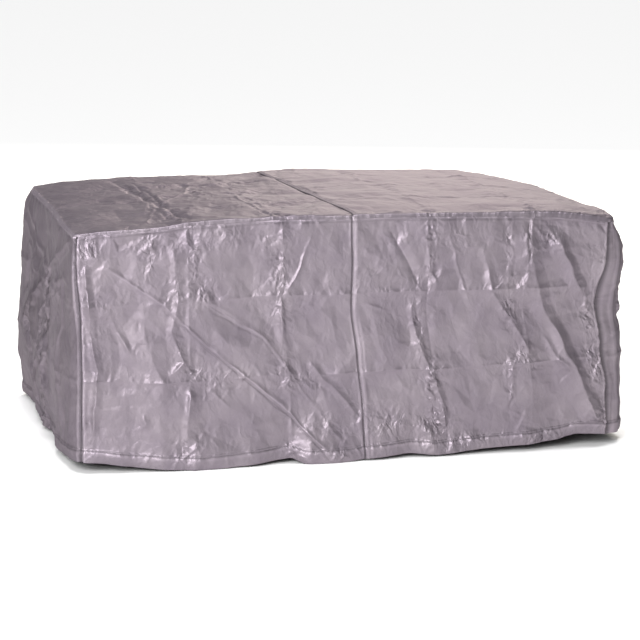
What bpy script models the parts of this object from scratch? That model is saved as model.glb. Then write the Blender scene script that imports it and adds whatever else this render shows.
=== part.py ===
"""A fitted cover for patio furniture: eight cut panels of coated cloth, sewn into a box, open below.

Each panel is first a flat sheet, ruled with a line wherever a fold runs, and is given its thickness
there. hang_top and hang_skirt then say where a point of the flat cloth hangs. X runs along the cover's
length, the front is -Y and Z is up. The origin is on the ground, under the middle of the cover. Sizes
are in metres.
"""

from collections import namedtuple

import bmesh
import bpy
import numpy as np
from mathutils import Vector

MM = 0.001

LENGTH = 1.70  # between the upright corner seams, along X
DEPTH = 1.20  # between the upright corner seams, along Y
CORNER_TOP = 0.732  # height of the top's surface at its corners
SKIRT_CLOTH = 0.745  # a skirt's cloth from hem to top seam
CLOTH = 0.002  # thickness
SEAM_GAP = 0.0004  # between two panels that are sewn together

EDGE_ROLL = 0.012  # how far the top's edge takes to turn down
EDGE_DROP = (0.007, 0.012)  # how far it turns down before its seam, at the left and right ends
CORNER_RADIUS = 0.025  # of the upright corners in plan
CORNER_TURN = 0.060  # the cloth's thickness turns with its corner over this much of each side
SEAM_WELT = 0.0015  # how far the turned-in edges lift the cloth at the top seam
WELT_REACH = 0.008

MIDDLE_SEAM = 0.012  # where the middle seam crosses the front edge
LAP_WIDTH = 0.015  # the right panels lap over the left ones by this much
LAP_LIFT = 0.0015
LAP_STEP = 0.004  # the lap's edge steps down over this much
LEAN_REACH = 0.35  # cloth on each side of the middle seam that leans with it
LEAN_DOWN_FRONT = 0.033  # the seam runs this far to the right on its way down the front
# and this far to the right at each place over the top: (y, millimetres)
LEAN_OVER_TOP = [(-0.60, 0), (-0.40, -22), (-0.10, -44), (0.28, -68), (0.60, -74)]

HEM_DEPTH = 0.044
HEM_LIFT = 0.0012  # the doubled cloth of the hem
HEM_PUFF = 0.0025  # the hem swells between its stitching and its lower edge
HEM_STEP = 0.004  # its upper edge steps down over this much

# The top's rise above its corners along each edge: (place along the edge, millimetres)
FRONT_RISE = [(-0.85, 7), (-0.745, 14), (-0.625, 19), (-0.565, 23), (-0.50, 32), (-0.375, 35),
              (-0.24, 42), (-0.105, 40), (0.012, 38), (0.13, 39), (0.26, 38), (0.43, 33), (0.587, 28),
              (0.71, 19), (0.80, 7), (0.85, -1)]
BACK_RISE = [(-0.85, 0), (-0.745, 12), (-0.625, 17), (-0.50, 21), (-0.375, 21), (-0.24, 20),
             (-0.105, 20), (0.012, 27), (0.13, 34), (0.26, 28), (0.395, 22), (0.53, 18), (0.67, 11),
             (0.755, -3), (0.85, -25)]
LEFT_RISE = [(-0.60, 7), (-0.31, 7), (-0.12, 10), (0.18, 4), (0.39, 4), (0.60, 0)]
RIGHT_RISE = [(-0.60, -1), (-0.48, 9), (-0.21, 8), (0.08, 1), (0.28, -8), (0.50, -20), (0.60, -25)]

# Swellings of the top over what it covers: (x, y, reach, millimetres)
TOP_SWELLS = [(-0.10, -0.05, 0.22, -4), (0.38, 0.02, 0.28, 7), (-0.68, 0.15, 0.16, -4),
              (0.66, -0.15, 0.16, 4)]

# How far the top's edges bow outwards: (place along the edge, millimetres)
EDGE_OUT = {
    "front": [(-0.85, 0), (-0.565, 4), (-0.24, -2), (0.012, 1), (0.26, 5), (0.587, 2), (0.85, 0)],
    "back": [(-0.85, 0), (-0.50, 6), (-0.105, 1), (0.26, 5), (0.65, -2), (0.85, 0)],
    "left": [(-0.60, 0), (-0.31, 4), (0.08, -2), (0.50, 8), (0.60, 0)],
    "right": [(-0.60, 0), (-0.565, 18), (-0.48, 20), (-0.31, 4), (-0.02, 0), (0.28, 6), (0.60, 0)],
}

# The hem's height above the ground along each side: (place along the side, millimetres)
HEM_HEIGHT = {
    "front": [(-0.85, 36), (-0.775, 30), (-0.685, 17), (-0.595, 7), (-0.47, 0), (-0.34, 6), (-0.24, 14),
              (-0.207, 17), (-0.175, 2), (-0.065, 0), (0.012, 6), (0.165, 14), (0.26, 6), (0.43, 17),
              (0.587, 22), (0.68, 32), (0.74, 44), (0.80, 41), (0.85, 37)],
    "back": [(-0.85, 12), (-0.62, 5), (-0.40, 14), (-0.15, 4), (0.13, 12), (0.36, 5), (0.60, 16),
             (0.85, 22)],
    "left": [(-0.60, 36), (-0.48, 27), (-0.22, 20), (-0.02, 10), (0.18, 15), (0.38, 8), (0.60, 12)],
    "right": [(-0.60, 36), (-0.40, 28), (-0.12, 18), (0.18, 12), (0.38, 17), (0.60, 22)],
}

# How far out the cloth hangs, in millimetres, at each of these heights up the skirt.
# At the top seam it is 0.
LEVELS = [0.0, 0.16, 0.32, 0.46, 0.64]
CORNER_OUT = {  # (along X, along Y) at each level
    "front_left": [(-2, 4), (-3, 8), (-7, 8), (-5, 6), (4, 3)],
    "front_right": [(2, -4), (2, -8), (-18, -10), (-38, -8), (-3, 0)],
    "back_left": [(40, 20), (54, 25), (54, 22), (44, 15), (34, 10)],
    "back_right": [(20, 20), (25, 25), (30, 20), (24, 14), (12, 6)],
}
SIDE_OUT = {  # (place along the side, out at each level)
    "front": [
        (-0.80, (6, 8, 8, 6, 2)), (-0.70, (20, 14, 8, 5, 2)), (-0.58, (34, 22, 12, 8, 3)),
        (-0.47, (42, 27, 16, 9, 3)), (-0.34, (38, 24, 13, 8, 3)), (-0.22, (10, 15, 11, 7, 3)),
        (-0.15, (44, 18, 9, 7, 3)), (-0.03, (34, 20, 12, 9, 3)), (0.06, (24, 16, 12, 9, 3)),
        (0.16, (12, 13, 12, 10, 3)), (0.26, (20, 14, 12, 10, 3)), (0.40, (16, 14, 16, 12, 4)),
        (0.55, (14, 12, 16, 14, 4)), (0.68, (4, 4, 8, 6, 3)), (0.78, (-4, -6, -6, -2, 1)),
    ],
    "back": [
        (-0.75, (24, 24, 18, 12, 6)), (-0.55, (10, 18, 16, 10, 4)), (-0.35, (26, 22, 14, 8, 3)),
        (-0.10, (14, 16, 12, 8, 3)), (0.10, (28, 20, 12, 8, 3)), (0.35, (12, 16, 14, 8, 3)),
        (0.60, (28, 22, 14, 8, 4)), (0.76, (16, 20, 16, 10, 5)),
    ],
    "left": [
        (-0.52, (16, 14, 10, 6, 4)), (-0.40, (22, 24, 20, 12, 6)), (-0.26, (26, 30, 28, 16, 8)),
        (-0.07, (14, 34, 34, 22, 8)), (0.04, (31, 38, 38, 24, 10)), (0.18, (29, 42, 44, 28, 10)),
        (0.42, (17, 46, 50, 34, 16)), (0.52, (24, 50, 54, 38, 22)),
    ],
    "right": [
        (-0.56, (26, 24, 20, 6, 22)), (-0.50, (50, 46, 50, 38, 40)), (-0.36, (48, 44, 46, 42, 24)),
        (-0.15, (30, 40, 44, 36, 16)), (0.10, (24, 34, 40, 32, 12)), (0.35, (28, 34, 36, 26, 10)),
        (0.50, (22, 28, 32, 24, 11)),
    ],
}

# A fold's crest runs along its path and rises from the first height to the second. The cloth falls
# off it in a curve on the left and in a plane on the right, over a reach of its own on each side. A
# height below zero is a groove. Paths run downwards on a skirt and towards the front on the top, so
# that right is +X or +Y.
Fold = namedtuple("Fold", "first second left_reach right_reach path")  # heights in millimetres

FRONT_FOLDS = [
    # long slanting folds of the left half
    Fold(5, 9, 0.032, 0.020, [(-0.77, 0.65), (-0.58, 0.51), (-0.41, 0.34), (-0.32, 0.255),
                              (-0.10, 0.03)]),
    Fold(4, 7, 0.026, 0.020, [(-0.465, 0.52), (-0.365, 0.47), (-0.275, 0.39), (-0.15, 0.19),
                              (-0.055, 0.05)]),
    Fold(4, 5, 0.024, 0.018, [(-0.145, 0.305), (-0.06, 0.21), (0.005, 0.125)]),
    Fold(3, 7, 0.016, 0.022, [(-0.11, 0.70), (-0.195, 0.515)]),
    # upright ridges along the packing folds
    Fold(5, 11, 0.024, 0.034, [(-0.545, 0.69), (-0.535, 0.52), (-0.555, 0.43), (-0.525, 0.325),
                               (-0.565, 0.29)]),
    Fold(8, 5, 0.022, 0.026, [(-0.508, 0.25), (-0.523, 0.06)]),
    Fold(11, 6, 0.028, 0.014, [(-0.206, 0.51), (-0.219, 0.35)]),
    Fold(4, 7, 0.026, 0.018, [(0.246, 0.715), (0.26, 0.55)]),
    Fold(6, 11, 0.036, 0.022, [(0.207, 0.50), (0.218, 0.355), (0.275, 0.17), (0.294, 0.08)]),
    Fold(6, 3, 0.020, 0.014, [(0.53, 0.27), (0.503, 0.11)]),
    # steps that draw the cloth back towards the right corner
    Fold(4, 9, 0.030, 0.024, [(0.425, 0.65), (0.475, 0.51), (0.53, 0.43), (0.60, 0.295)]),
    Fold(4, 7, 0.030, 0.016, [(0.64, 0.36), (0.725, 0.21)]),
    Fold(-5, -6, 0.026, 0.030, [(0.13, 0.715), (0.17, 0.64), (0.225, 0.535)]),
    Fold(8, 28, 0.100, 0.036, [(0.58, 0.70), (0.577, 0.62), (0.635, 0.51), (0.70, 0.34), (0.77, 0.14),
                               (0.81, 0.03)]),
    Fold(9, 20, 0.060, 0.028, [(0.67, 0.69), (0.69, 0.63), (0.74, 0.555), (0.80, 0.485)]),
    # small ridges near the left corner
    Fold(8, 9, 0.022, 0.024, [(-0.815, 0.66), (-0.815, 0.43), (-0.79, 0.30), (-0.805, 0.08)]),
    Fold(4, 6, 0.020, 0.024, [(-0.76, 0.50), (-0.715, 0.42), (-0.69, 0.35)]),
    Fold(3, 5, 0.016, 0.020, [(-0.66, 0.17), (-0.635, 0.115)]),
]
BACK_FOLDS = [
    Fold(6, 12, 0.040, 0.040, [(-0.74, 0.62), (-0.50, 0.34), (-0.30, 0.06)]),
    Fold(6, 12, 0.040, 0.040, [(0.72, 0.60), (0.52, 0.33), (0.36, 0.05)]),
    Fold(5, 8, 0.036, 0.036, [(0.16, 0.66), (0.20, 0.40), (0.14, 0.16)]),
]
LEFT_FOLDS = [
    Fold(6, 10, 0.050, 0.040, [(0.52, 0.66), (0.30, 0.58), (0.10, 0.42), (-0.02, 0.29), (-0.14, 0.10)]),
    Fold(-8, -6, 0.040, 0.040, [(0.36, 0.36), (0.22, 0.10)]),
    Fold(5, 9, 0.036, 0.036, [(-0.44, 0.62), (-0.36, 0.34), (-0.42, 0.08)]),
]
RIGHT_FOLDS = [
    Fold(-8, -10, 0.030, 0.030, [(-0.44, 0.68), (-0.42, 0.34), (-0.45, 0.05)]),
    Fold(6, 10, 0.045, 0.045, [(0.02, 0.64), (0.12, 0.38), (0.08, 0.10)]),
]
TOP_FOLDS = [
    Fold(-4, -8, 0.026, 0.030, [(-0.58, 0.52), (-0.55, 0.08), (-0.52, -0.22), (-0.485, -0.56)]),
    Fold(-2, -5, 0.025, 0.025, [(-0.245, -0.32), (-0.238, -0.57)]),
    Fold(-4, -2, 0.030, 0.030, [(-0.52, 0.42), (-0.39, 0.33), (-0.28, 0.25), (-0.14, 0.07)]),
    Fold(-4, -2, 0.030, 0.030, [(0.27, 0.54), (0.25, 0.40), (0.35, 0.38)]),
    Fold(2, 3, 0.040, 0.040, [(0.29, 0.10), (0.26, -0.56)]),
    Fold(-2, -4, 0.030, 0.030, [(0.61, 0.40), (0.587, -0.56)]),
]

# The creases of its packing, straight across every panel: (place, millimetres, reach)
LEVEL_CREASES = [(0.270, 4, 0.028), (0.515, 4, 0.028)]  # up a skirt
UPRIGHT_CREASES = [(-0.50, 3, 0.024), (-0.207, 3, 0.024), (0.26, -3, 0.024), (0.587, 3, 0.024)]  # along X
TOP_CREASES = UPRIGHT_CREASES[2:]
CROSS_CREASES = [(-0.31, 3, 0.026), (-0.02, -3, 0.026), (0.28, 3, 0.026)]  # along Y
FOLD_CURVE = 1.6  # the power by which the curved side of a fold falls off
CORNER_CALM = 0.030  # folds fade out this close to a corner seam
TOP_CALM = 0.035  # and this close to the top seam

# Lines ruled on the flat panels
LEFT_COLUMNS = [-0.85, -0.8465, -0.838, -0.82, -0.79, -0.745, -0.705, -0.665, -0.625, -0.595, -0.565,
                -0.535, -0.50, -0.46, -0.42, -0.375, -0.335, -0.29, -0.24, -0.207, -0.175, -0.14,
                -0.105, -0.065, -0.025, MIDDLE_SEAM]
RIGHT_COLUMNS = [MIDDLE_SEAM, MIDDLE_SEAM + LAP_WIDTH, MIDDLE_SEAM + LAP_WIDTH + LAP_STEP, 0.06, 0.095,
                 0.13, 0.165, 0.20, 0.23, 0.26, 0.295, 0.345, 0.395, 0.43, 0.47, 0.50, 0.53, 0.56,
                 0.587, 0.63, 0.67, 0.71, 0.755, 0.80, 0.82, 0.838, 0.8465, 0.85]
DEPTH_LINES = [-0.60, -0.5965, -0.588, -0.565, -0.53, -0.48, -0.40, -0.31, -0.21, -0.12, -0.02, 0.08,
               0.18, 0.28, 0.39, 0.50, 0.588, 0.5965, 0.60]
SKIRT_ROWS = [0, 0.022, HEM_DEPTH - HEM_STEP, HEM_DEPTH, 0.09, 0.135, 0.18, 0.225, 0.27, 0.31, 0.35,
              0.39, 0.43, 0.475, 0.515, 0.555, 0.595, 0.635, 0.67, 0.705, SKIRT_CLOTH - WELT_REACH,
              SKIRT_CLOTH]
SNAP = 0.004  # a ruled line passes through grid points this close to it
PIN_REACH = 0.050  # a bend of a fold draws the nearest grid point onto itself from this far
DEEP_FOLD = 15  # a fold that rises by more millimetres than this has its right foot ruled too

# The middle of the hung cloth's box, from the middle between the corner seams
BOX_MIDDLE = (0.004, -0.006)

LILAC_GREY = (0.34, 0.285, 0.325, 1.0)
ROUGHNESS = 0.45

# What tells one side's skirt from another's: the axis it runs along, the way it faces, its corners and folds
Side = namedtuple("Side", "axis facing corners folds creases")
SIDES = {
    "front": Side(0, -1, ("front_left", "front_right"), FRONT_FOLDS, UPRIGHT_CREASES),
    "back": Side(0, 1, ("back_left", "back_right"), BACK_FOLDS, UPRIGHT_CREASES),
    "left": Side(1, -1, ("front_left", "back_left"), LEFT_FOLDS, CROSS_CREASES),
    "right": Side(1, 1, ("front_right", "back_right"), RIGHT_FOLDS, CROSS_CREASES),
}
HALF = (LENGTH / 2, DEPTH / 2)


def ease(t):
    """0 to 1, level at both ends."""
    t = np.clip(t, 0, 1)
    return t * t * (3 - 2 * t)


def between(places, table):
    """A table's second column read at these places, in metres."""
    where, millimetres = zip(*table)
    return np.interp(places, where, millimetres) * MM


def smooth_between(places, where, values):
    """As np.interp, but level at each row of the table, so that the curve has no corners."""
    where = np.asarray(where)
    values = np.asarray(values, float)
    row = np.clip(np.searchsorted(where, places, side="right") - 1, 0, len(where) - 2)
    share = ease((places - where[row]) / (where[row + 1] - where[row]))
    return values[row] * (1 - share) + values[row + 1] * share


def across_levels(height, at_level):
    """Reads one array for each level at these heights up a skirt, down to 0 at the top seam."""
    total = at_level[-1] * (1 - np.clip((height - LEVELS[-1]) / (SKIRT_CLOTH - LEVELS[-1]), 0, 1) ** 2)
    for low, high, below, above in zip(LEVELS, LEVELS[1:], at_level, at_level[1:]):
        share = ease((height - low) / (high - low))
        inside = (height >= low) & (height < high)
        total = np.where(inside, below * (1 - share) + above * share, total)
    return total


def fold_height(u, v, fold):
    """How far a fold stands out at (u, v) of the flat cloth."""
    nearest = np.full_like(u, np.inf)
    to_right = np.zeros_like(u, bool)
    passed = np.zeros_like(u)
    so_far = 0
    for (u0, v0), (u1, v1) in zip(fold.path, fold.path[1:]):
        length = np.hypot(u1 - u0, v1 - v0)
        along = np.clip(((u - u0) * (u1 - u0) + (v - v0) * (v1 - v0)) / length**2, 0, 1)
        away = np.hypot(u - u0 - along * (u1 - u0), v - v0 - along * (v1 - v0))
        closer = away < nearest
        nearest = np.where(closer, away, nearest)
        passed = np.where(closer, so_far + along * length, passed)
        to_right = np.where(closer, (u1 - u0) * (v - v0) > (v1 - v0) * (u - u0), to_right)
        so_far += length
    left = np.clip(1 - nearest / fold.left_reach, 0, 1) ** FOLD_CURVE
    right = np.clip(1 - nearest / fold.right_reach, 0, 1)
    height = fold.first + (fold.second - fold.first) * passed / so_far
    return height * MM * np.where(to_right, right, left)


def crease_height(place, creases):
    total = np.zeros_like(place)
    for at, rise, reach in creases:
        total = total + rise * MM * np.exp(-np.abs(place - at) / reach)
    return total


def top_rise(x, y):
    """The top's rise above its corners: its four edges blended, and its swellings."""
    p = x / LENGTH + 0.5
    q = y / DEPTH + 0.5
    front, back = between(x, FRONT_RISE), between(x, BACK_RISE)
    left, right = between(y, LEFT_RISE), between(y, RIGHT_RISE)
    corners = [[FRONT_RISE[0][1], FRONT_RISE[-1][1]], [BACK_RISE[0][1], BACK_RISE[-1][1]]]
    at_front = corners[0][0] * (1 - p) + corners[0][1] * p
    at_back = corners[1][0] * (1 - p) + corners[1][1] * p
    twice = (at_front * (1 - q) + at_back * q) * MM
    rise = front * (1 - q) + back * q + left * (1 - p) + right * p - twice
    off_edge = np.clip(1 - (x / HALF[0]) ** 2, 0, 1) * np.clip(1 - (y / HALF[1]) ** 2, 0, 1)
    for at_x, at_y, reach, swell in TOP_SWELLS:
        rise = rise + swell * MM * off_edge * np.exp(-((x - at_x) ** 2 + (y - at_y) ** 2) / reach**2)
    return rise


def edges_out(x, y):
    """How far the cloth moves along X and Y with the bow of the top's edges."""
    p = x / LENGTH + 0.5
    q = y / DEPTH + 0.5
    along_x = p * between(y, EDGE_OUT["right"]) - (1 - p) * between(y, EDGE_OUT["left"])
    along_y = q * between(x, EDGE_OUT["back"]) - (1 - q) * between(x, EDGE_OUT["front"])
    return along_x, along_y


def seam_lean(x, y, up):
    """How far the cloth leans sideways with the middle seam. up is 1 at the top seam and 0 at the hem."""
    near = np.exp(-(((x - MIDDLE_SEAM) / LEAN_REACH) ** 2)) * np.clip(1 - (x / HALF[0]) ** 2, 0, 1)
    down_front = LEAN_DOWN_FRONT * (1 - up) * (y < 0)
    return near * (down_front + between(y, LEAN_OVER_TOP))


def into_corner(x, y, reach):
    """How far a point is into a corner along each axis: a square of this reach drawn into a disc."""
    a = np.clip((np.abs(x) - HALF[0] + reach) / reach, 0, 1)
    b = np.clip((np.abs(y) - HALF[1] + reach) / reach, 0, 1)
    return a * np.sqrt(1 - b * b / 2), b * np.sqrt(1 - a * a / 2)


def round_corners(x, y):
    """The plan with its corners rounded."""
    into_x, into_y = into_corner(x, y, CORNER_RADIUS)
    round_x = np.where(into_x > 0, np.sign(x) * (HALF[0] + CORNER_RADIUS * (into_x - 1)), x)
    round_y = np.where(into_y > 0, np.sign(y) * (HALF[1] + CORNER_RADIUS * (into_y - 1)), y)
    return round_x, round_y


def outward(x, y):
    """The level direction in which the cloth faces at the rim and on the skirts."""
    into_x, into_y = into_corner(x, y, CORNER_TURN)
    facing = np.stack([np.sign(x) * into_x, np.sign(y) * into_y, np.zeros_like(x)], axis=1)
    return facing / np.maximum(np.linalg.norm(facing, axis=1, keepdims=True), MM)


def lap_lift(x):
    """The lapped cloth along the middle seam."""
    past = x - MIDDLE_SEAM
    return LAP_LIFT * (past > 0) * np.clip((LAP_WIDTH + LAP_STEP - past) / LAP_STEP, 0, 1)


def welt(distance):
    """The turned-in edges at the top seam."""
    return SEAM_WELT * np.clip(1 - distance / WELT_REACH, 0, 1)


def hem_lift(height):
    """The hem: doubled cloth that swells below its stitching."""
    share = np.clip(height / HEM_DEPTH, 0, 1)
    return (share < 1) * (HEM_LIFT + HEM_PUFF * 4 * share * (1 - share))


def edge_drop(x):
    return np.interp(x, [-HALF[0], HALF[0]], EDGE_DROP)


def placed(x, y, z, up, moved):
    """Points of the cloth at rest, with the bow of the edges and the lean of the middle seam."""
    out_x, out_y = edges_out(x, y)
    round_x, round_y = round_corners(x, y)
    out_x += round_x + seam_lean(x, y, up) - BOX_MIDDLE[0]
    out_y += round_y - BOX_MIDDLE[1]
    return np.stack([out_x, out_y, z], axis=1) + moved


def hang_top(x, y, depth):
    """Where a point of the top lies. depth is measured down into the cloth."""
    roll_x = np.clip(1 - (HALF[0] - np.abs(x)) / EDGE_ROLL, 0, 1)
    roll_y = np.clip(1 - (HALF[1] - np.abs(y)) / EDGE_ROLL, 0, 1)
    level = np.sqrt(1 - roll_x**2) * np.sqrt(1 - roll_y**2)
    from_edge = np.minimum(HALF[0] - np.abs(x), HALF[1] - np.abs(y))
    calm = ease((from_edge - EDGE_ROLL) / TOP_CALM)
    folds = crease_height(x, TOP_CREASES) + crease_height(y, CROSS_CREASES)
    folds = folds + sum(fold_height(x, y, fold) for fold in TOP_FOLDS)
    z = CORNER_TOP + top_rise(x, y) - edge_drop(x) * (1 - level) + calm * folds
    facing = outward(x, y) * np.sqrt(1 - level**2)[:, None]
    facing[:, 2] = level
    lift = lap_lift(x) + welt(from_edge) - depth
    return placed(x, y, z, np.ones_like(x), facing * lift[:, None])


def corner_out(side, end, axis):
    """A corner's way out along an axis at each level, signed along that axis."""
    name = SIDES[side].corners[end]
    sign = {"left": -1, "right": 1, "front": -1, "back": 1}[name.split("_")[1 - axis]]
    return [sign * out[axis] * MM for out in CORNER_OUT[name]]


def hang_skirt(name, along, height, depth):
    """Where a point of a skirt hangs: along its side, up from the hem, and depth into the cloth."""
    side = SIDES[name]
    across = 1 - side.axis
    half = HALF[side.axis]
    ends = [corner_out(name, end, side.axis) for end in (0, 1)]
    faces = [np.array(corner_out(name, end, across)) * side.facing / MM for end in (0, 1)]
    places = [-half] + [row[0] for row in SIDE_OUT[name]] + [half]
    rows = [faces[0]] + [row[1] for row in SIDE_OUT[name]] + [faces[1]]
    levels = range(len(LEVELS))
    forward = [smooth_between(along, places, [row[k] for row in rows]) * MM for k in levels]
    share = along / (2 * half) + 0.5
    sideways = [ends[0][k] * (1 - share) + ends[1][k] * share for k in levels]

    folds = sum(fold_height(along, height, fold) for fold in side.folds)
    folds = folds + crease_height(along, side.creases) + crease_height(height, LEVEL_CREASES)
    calm = ease((half - np.abs(along)) / CORNER_CALM) * ease((SKIRT_CLOTH - height) / TOP_CALM)

    base = [along, np.full_like(along, side.facing * HALF[across])]
    x, y = base if side.axis == 0 else base[::-1]
    up = height / SKIRT_CLOTH
    top = CORNER_TOP + top_rise(x, y) - edge_drop(x) - SEAM_GAP
    hem = between(along, HEM_HEIGHT[name])
    z = hem + up * (top - hem)
    lift = welt(SKIRT_CLOTH - height) + hem_lift(height) - depth
    if side.axis == 0:
        lift = lift + lap_lift(x)
    moved = outward(x, y) * lift[:, None]
    moved[:, side.axis] += across_levels(height, sideways)
    moved[:, across] += side.facing * (across_levels(height, forward) + calm * folds)
    return placed(x, y, z, up, moved)


def grid_sheet(columns, rows):
    """A flat sheet ruled at these columns and rows."""
    sheet = bmesh.new()
    across, up = len(columns) - 1, len(rows) - 1
    bmesh.ops.create_grid(sheet, x_segments=across, y_segments=up, size=0.5)
    for point in sheet.verts:
        column = round((point.co.x + 0.5) * across)
        row = round((point.co.y + 0.5) * up)
        point.co = (columns[column], rows[row], 0)
    return sheet


def pin_bends(sheet, folds):
    """Moves a grid point onto each bend of the folds."""
    lapped = (MIDDLE_SEAM, MIDDLE_SEAM + 2 * LAP_WIDTH)
    free = [point for point in sheet.verts
            if not point.is_boundary and not lapped[0] < point.co.x < lapped[1]]
    for fold in folds:
        for bend in fold.path:
            bend = Vector((*bend, 0))
            nearest = min(free, key=lambda point: (point.co - bend).length)
            if (nearest.co - bend).length < PIN_REACH:
                nearest.co = bend
                free.remove(nearest)


def right_foot(fold):
    """The fold's path moved to where its right side ends."""
    moved = []
    for (u0, v0), (u1, v1) in zip(fold.path, fold.path[1:]):
        share = fold.right_reach / np.hypot(u1 - u0, v1 - v0)
        across, up = (v0 - v1) * share, (u1 - u0) * share
        moved.append(((u0 + across, v0 + up), (u1 + across, v1 + up)))
    return moved


def rule_line(sheet, start, end):
    """Splits the faces that a fold crosses, so that its crest is an edge of the mesh."""
    start, end = Vector((*start, 0)), Vector((*end, 0))
    way = (end - start).normalized()
    length = (end - start).length
    crossed = [face for face in sheet.faces
               if 0 <= (face.calc_center_median() - start).dot(way) <= length]
    parts = {part for face in crossed for part in (face, *face.edges, *face.verts)}
    bmesh.ops.bisect_plane(sheet, geom=list(parts), dist=SNAP, plane_co=start,
                           plane_no=(way.y, -way.x, 0))


def cut_panel(columns, rows, folds):
    """A panel of cloth lying flat, with its outer face at z = 0."""
    sheet = grid_sheet(columns, rows)
    pin_bends(sheet, folds)
    for fold in folds:
        lines = list(zip(fold.path, fold.path[1:]))
        if fold.second > DEEP_FOLD:
            lines += right_foot(fold)
        for start, end in lines:
            rule_line(sheet, start, end)
    made = bmesh.ops.extrude_face_region(sheet, geom=sheet.faces[:])
    under = [item for item in made["geom"] if isinstance(item, bmesh.types.BMVert)]
    bmesh.ops.translate(sheet, verts=under, vec=(0, 0, -CLOTH))
    bmesh.ops.recalc_face_normals(sheet, faces=sheet.faces[:])
    return sheet


def cloth_material(name):
    material = bpy.data.materials.new(name)
    material.use_nodes = True
    shader = material.node_tree.nodes["Principled BSDF"]
    shader.inputs["Base Color"].default_value = LILAC_GREY
    shader.inputs["Roughness"].default_value = ROUGHNESS
    shader.inputs["Metallic"].default_value = 0.0
    return material


def add_panel(collection, name, sheet, hang):
    """Hangs a flat panel and adds it as one object."""
    flat = np.array([point.co for point in sheet.verts])
    hung = hang(flat[:, 0], flat[:, 1], -flat[:, 2])
    for point, place in zip(sheet.verts, hung):
        point.co = place
    if sheet.calc_volume(signed=True) < 0:
        bmesh.ops.reverse_faces(sheet, faces=sheet.faces[:])
    mesh = bpy.data.meshes.new(name)
    sheet.to_mesh(mesh)
    sheet.free()
    mesh.shade_smooth()
    mesh.materials.append(cloth_material(name + "_cloth"))
    collection.objects.link(bpy.data.objects.new(name, mesh))


def inside_seams(lines, first=True, last=True):
    """The lines with half a seam's gap left at their ends."""
    lines = list(lines)
    lines[0] += SEAM_GAP / 2 * first
    lines[-1] -= SEAM_GAP / 2 * last
    return lines


def folds_on(folds, columns):
    """The folds that reach onto a panel with these columns."""
    return [fold for fold in folds
            if min(u for u, _ in fold.path) < columns[-1] and max(u for u, _ in fold.path) > columns[0]]


def build_cover(collection):
    halves = {"left": LEFT_COLUMNS, "right": RIGHT_COLUMNS}
    for half, columns in halves.items():
        top_columns = inside_seams(columns, first=half == "right", last=half == "left")
        sheet = cut_panel(top_columns, DEPTH_LINES, folds_on(TOP_FOLDS, columns))
        add_panel(collection, f"top_{half}", sheet, hang_top)
        skirt_columns = inside_seams(columns)
        for side in ("front", "back"):
            used = skirt_columns if side == "front" else coarser(skirt_columns)
            sheet = cut_panel(used, SKIRT_ROWS, folds_on(SIDES[side].folds, columns))
            add_panel(collection, f"{side}_{half}", sheet,
                      lambda u, v, w, side=side: hang_skirt(side, u, v, w))
    for side in ("left", "right"):
        sheet = cut_panel(inside_seams(DEPTH_LINES), SKIRT_ROWS, SIDES[side].folds)
        add_panel(collection, f"end_{side}", sheet,
                  lambda u, v, w, side=side: hang_skirt(side, u, v, w))


def coarser(columns):
    """Fewer columns, for the plainer back: those at the ends, in the corners and of the back's rise."""
    kept = [place for place, _ in BACK_RISE]
    inner = [at for at in columns[1:-1] if at in kept or abs(at) > HALF[0] - CORNER_TURN]
    return [columns[0]] + inner + [columns[-1]]


def main():
    for old in list(bpy.data.objects):
        bpy.data.objects.remove(old)
    collection = bpy.data.collections.new("patio_furniture_cover")
    bpy.context.scene.collection.children.link(collection)
    build_cover(collection)


main()
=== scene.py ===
import math
from collections import namedtuple

import bmesh
import bpy
import numpy as np
from mathutils import Matrix, Vector
from mathutils.geometry import delaunay_2d_cdt


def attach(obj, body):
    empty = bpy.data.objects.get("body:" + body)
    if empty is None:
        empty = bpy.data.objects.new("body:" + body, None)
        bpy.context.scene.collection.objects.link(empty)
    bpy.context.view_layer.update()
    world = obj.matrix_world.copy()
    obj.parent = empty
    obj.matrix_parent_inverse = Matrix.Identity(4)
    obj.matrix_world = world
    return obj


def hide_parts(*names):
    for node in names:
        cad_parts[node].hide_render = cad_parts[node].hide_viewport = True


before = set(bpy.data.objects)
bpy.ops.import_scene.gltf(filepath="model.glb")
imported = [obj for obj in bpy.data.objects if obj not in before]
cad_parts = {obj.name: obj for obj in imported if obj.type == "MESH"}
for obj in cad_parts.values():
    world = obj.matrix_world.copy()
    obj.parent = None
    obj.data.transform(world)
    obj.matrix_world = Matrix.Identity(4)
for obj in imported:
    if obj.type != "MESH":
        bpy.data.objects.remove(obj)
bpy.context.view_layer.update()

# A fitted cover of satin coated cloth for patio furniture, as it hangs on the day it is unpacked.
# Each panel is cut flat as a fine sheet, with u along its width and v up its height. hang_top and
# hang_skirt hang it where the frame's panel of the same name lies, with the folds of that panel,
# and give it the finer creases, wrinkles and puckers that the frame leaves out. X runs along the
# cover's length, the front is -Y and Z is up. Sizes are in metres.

MM = 0.001

LENGTH = 1.70  # between the upright corner seams, along X
DEPTH = 1.20  # between the upright corner seams, along Y
CORNER_TOP = 0.732  # height of the top's surface at its corners
SKIRT_CLOTH = 0.745  # a skirt's cloth from hem to top seam
SEAM_GAP = 0.0004  # between two panels that are sewn together

EDGE_ROLL = 0.012  # how far the top's edge takes to turn down
EDGE_DROP = (0.007, 0.012)  # how far it turns down before its seam, at the left and right ends
CORNER_RADIUS = 0.025  # of the upright corners in plan
CORNER_TURN = 0.060  # the cloth's thickness turns with its corner over this much of each side
SEAM_WELT = 0.0015  # how far the turned-in edges lift the cloth at the top seam
WELT_REACH = 0.008

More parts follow.
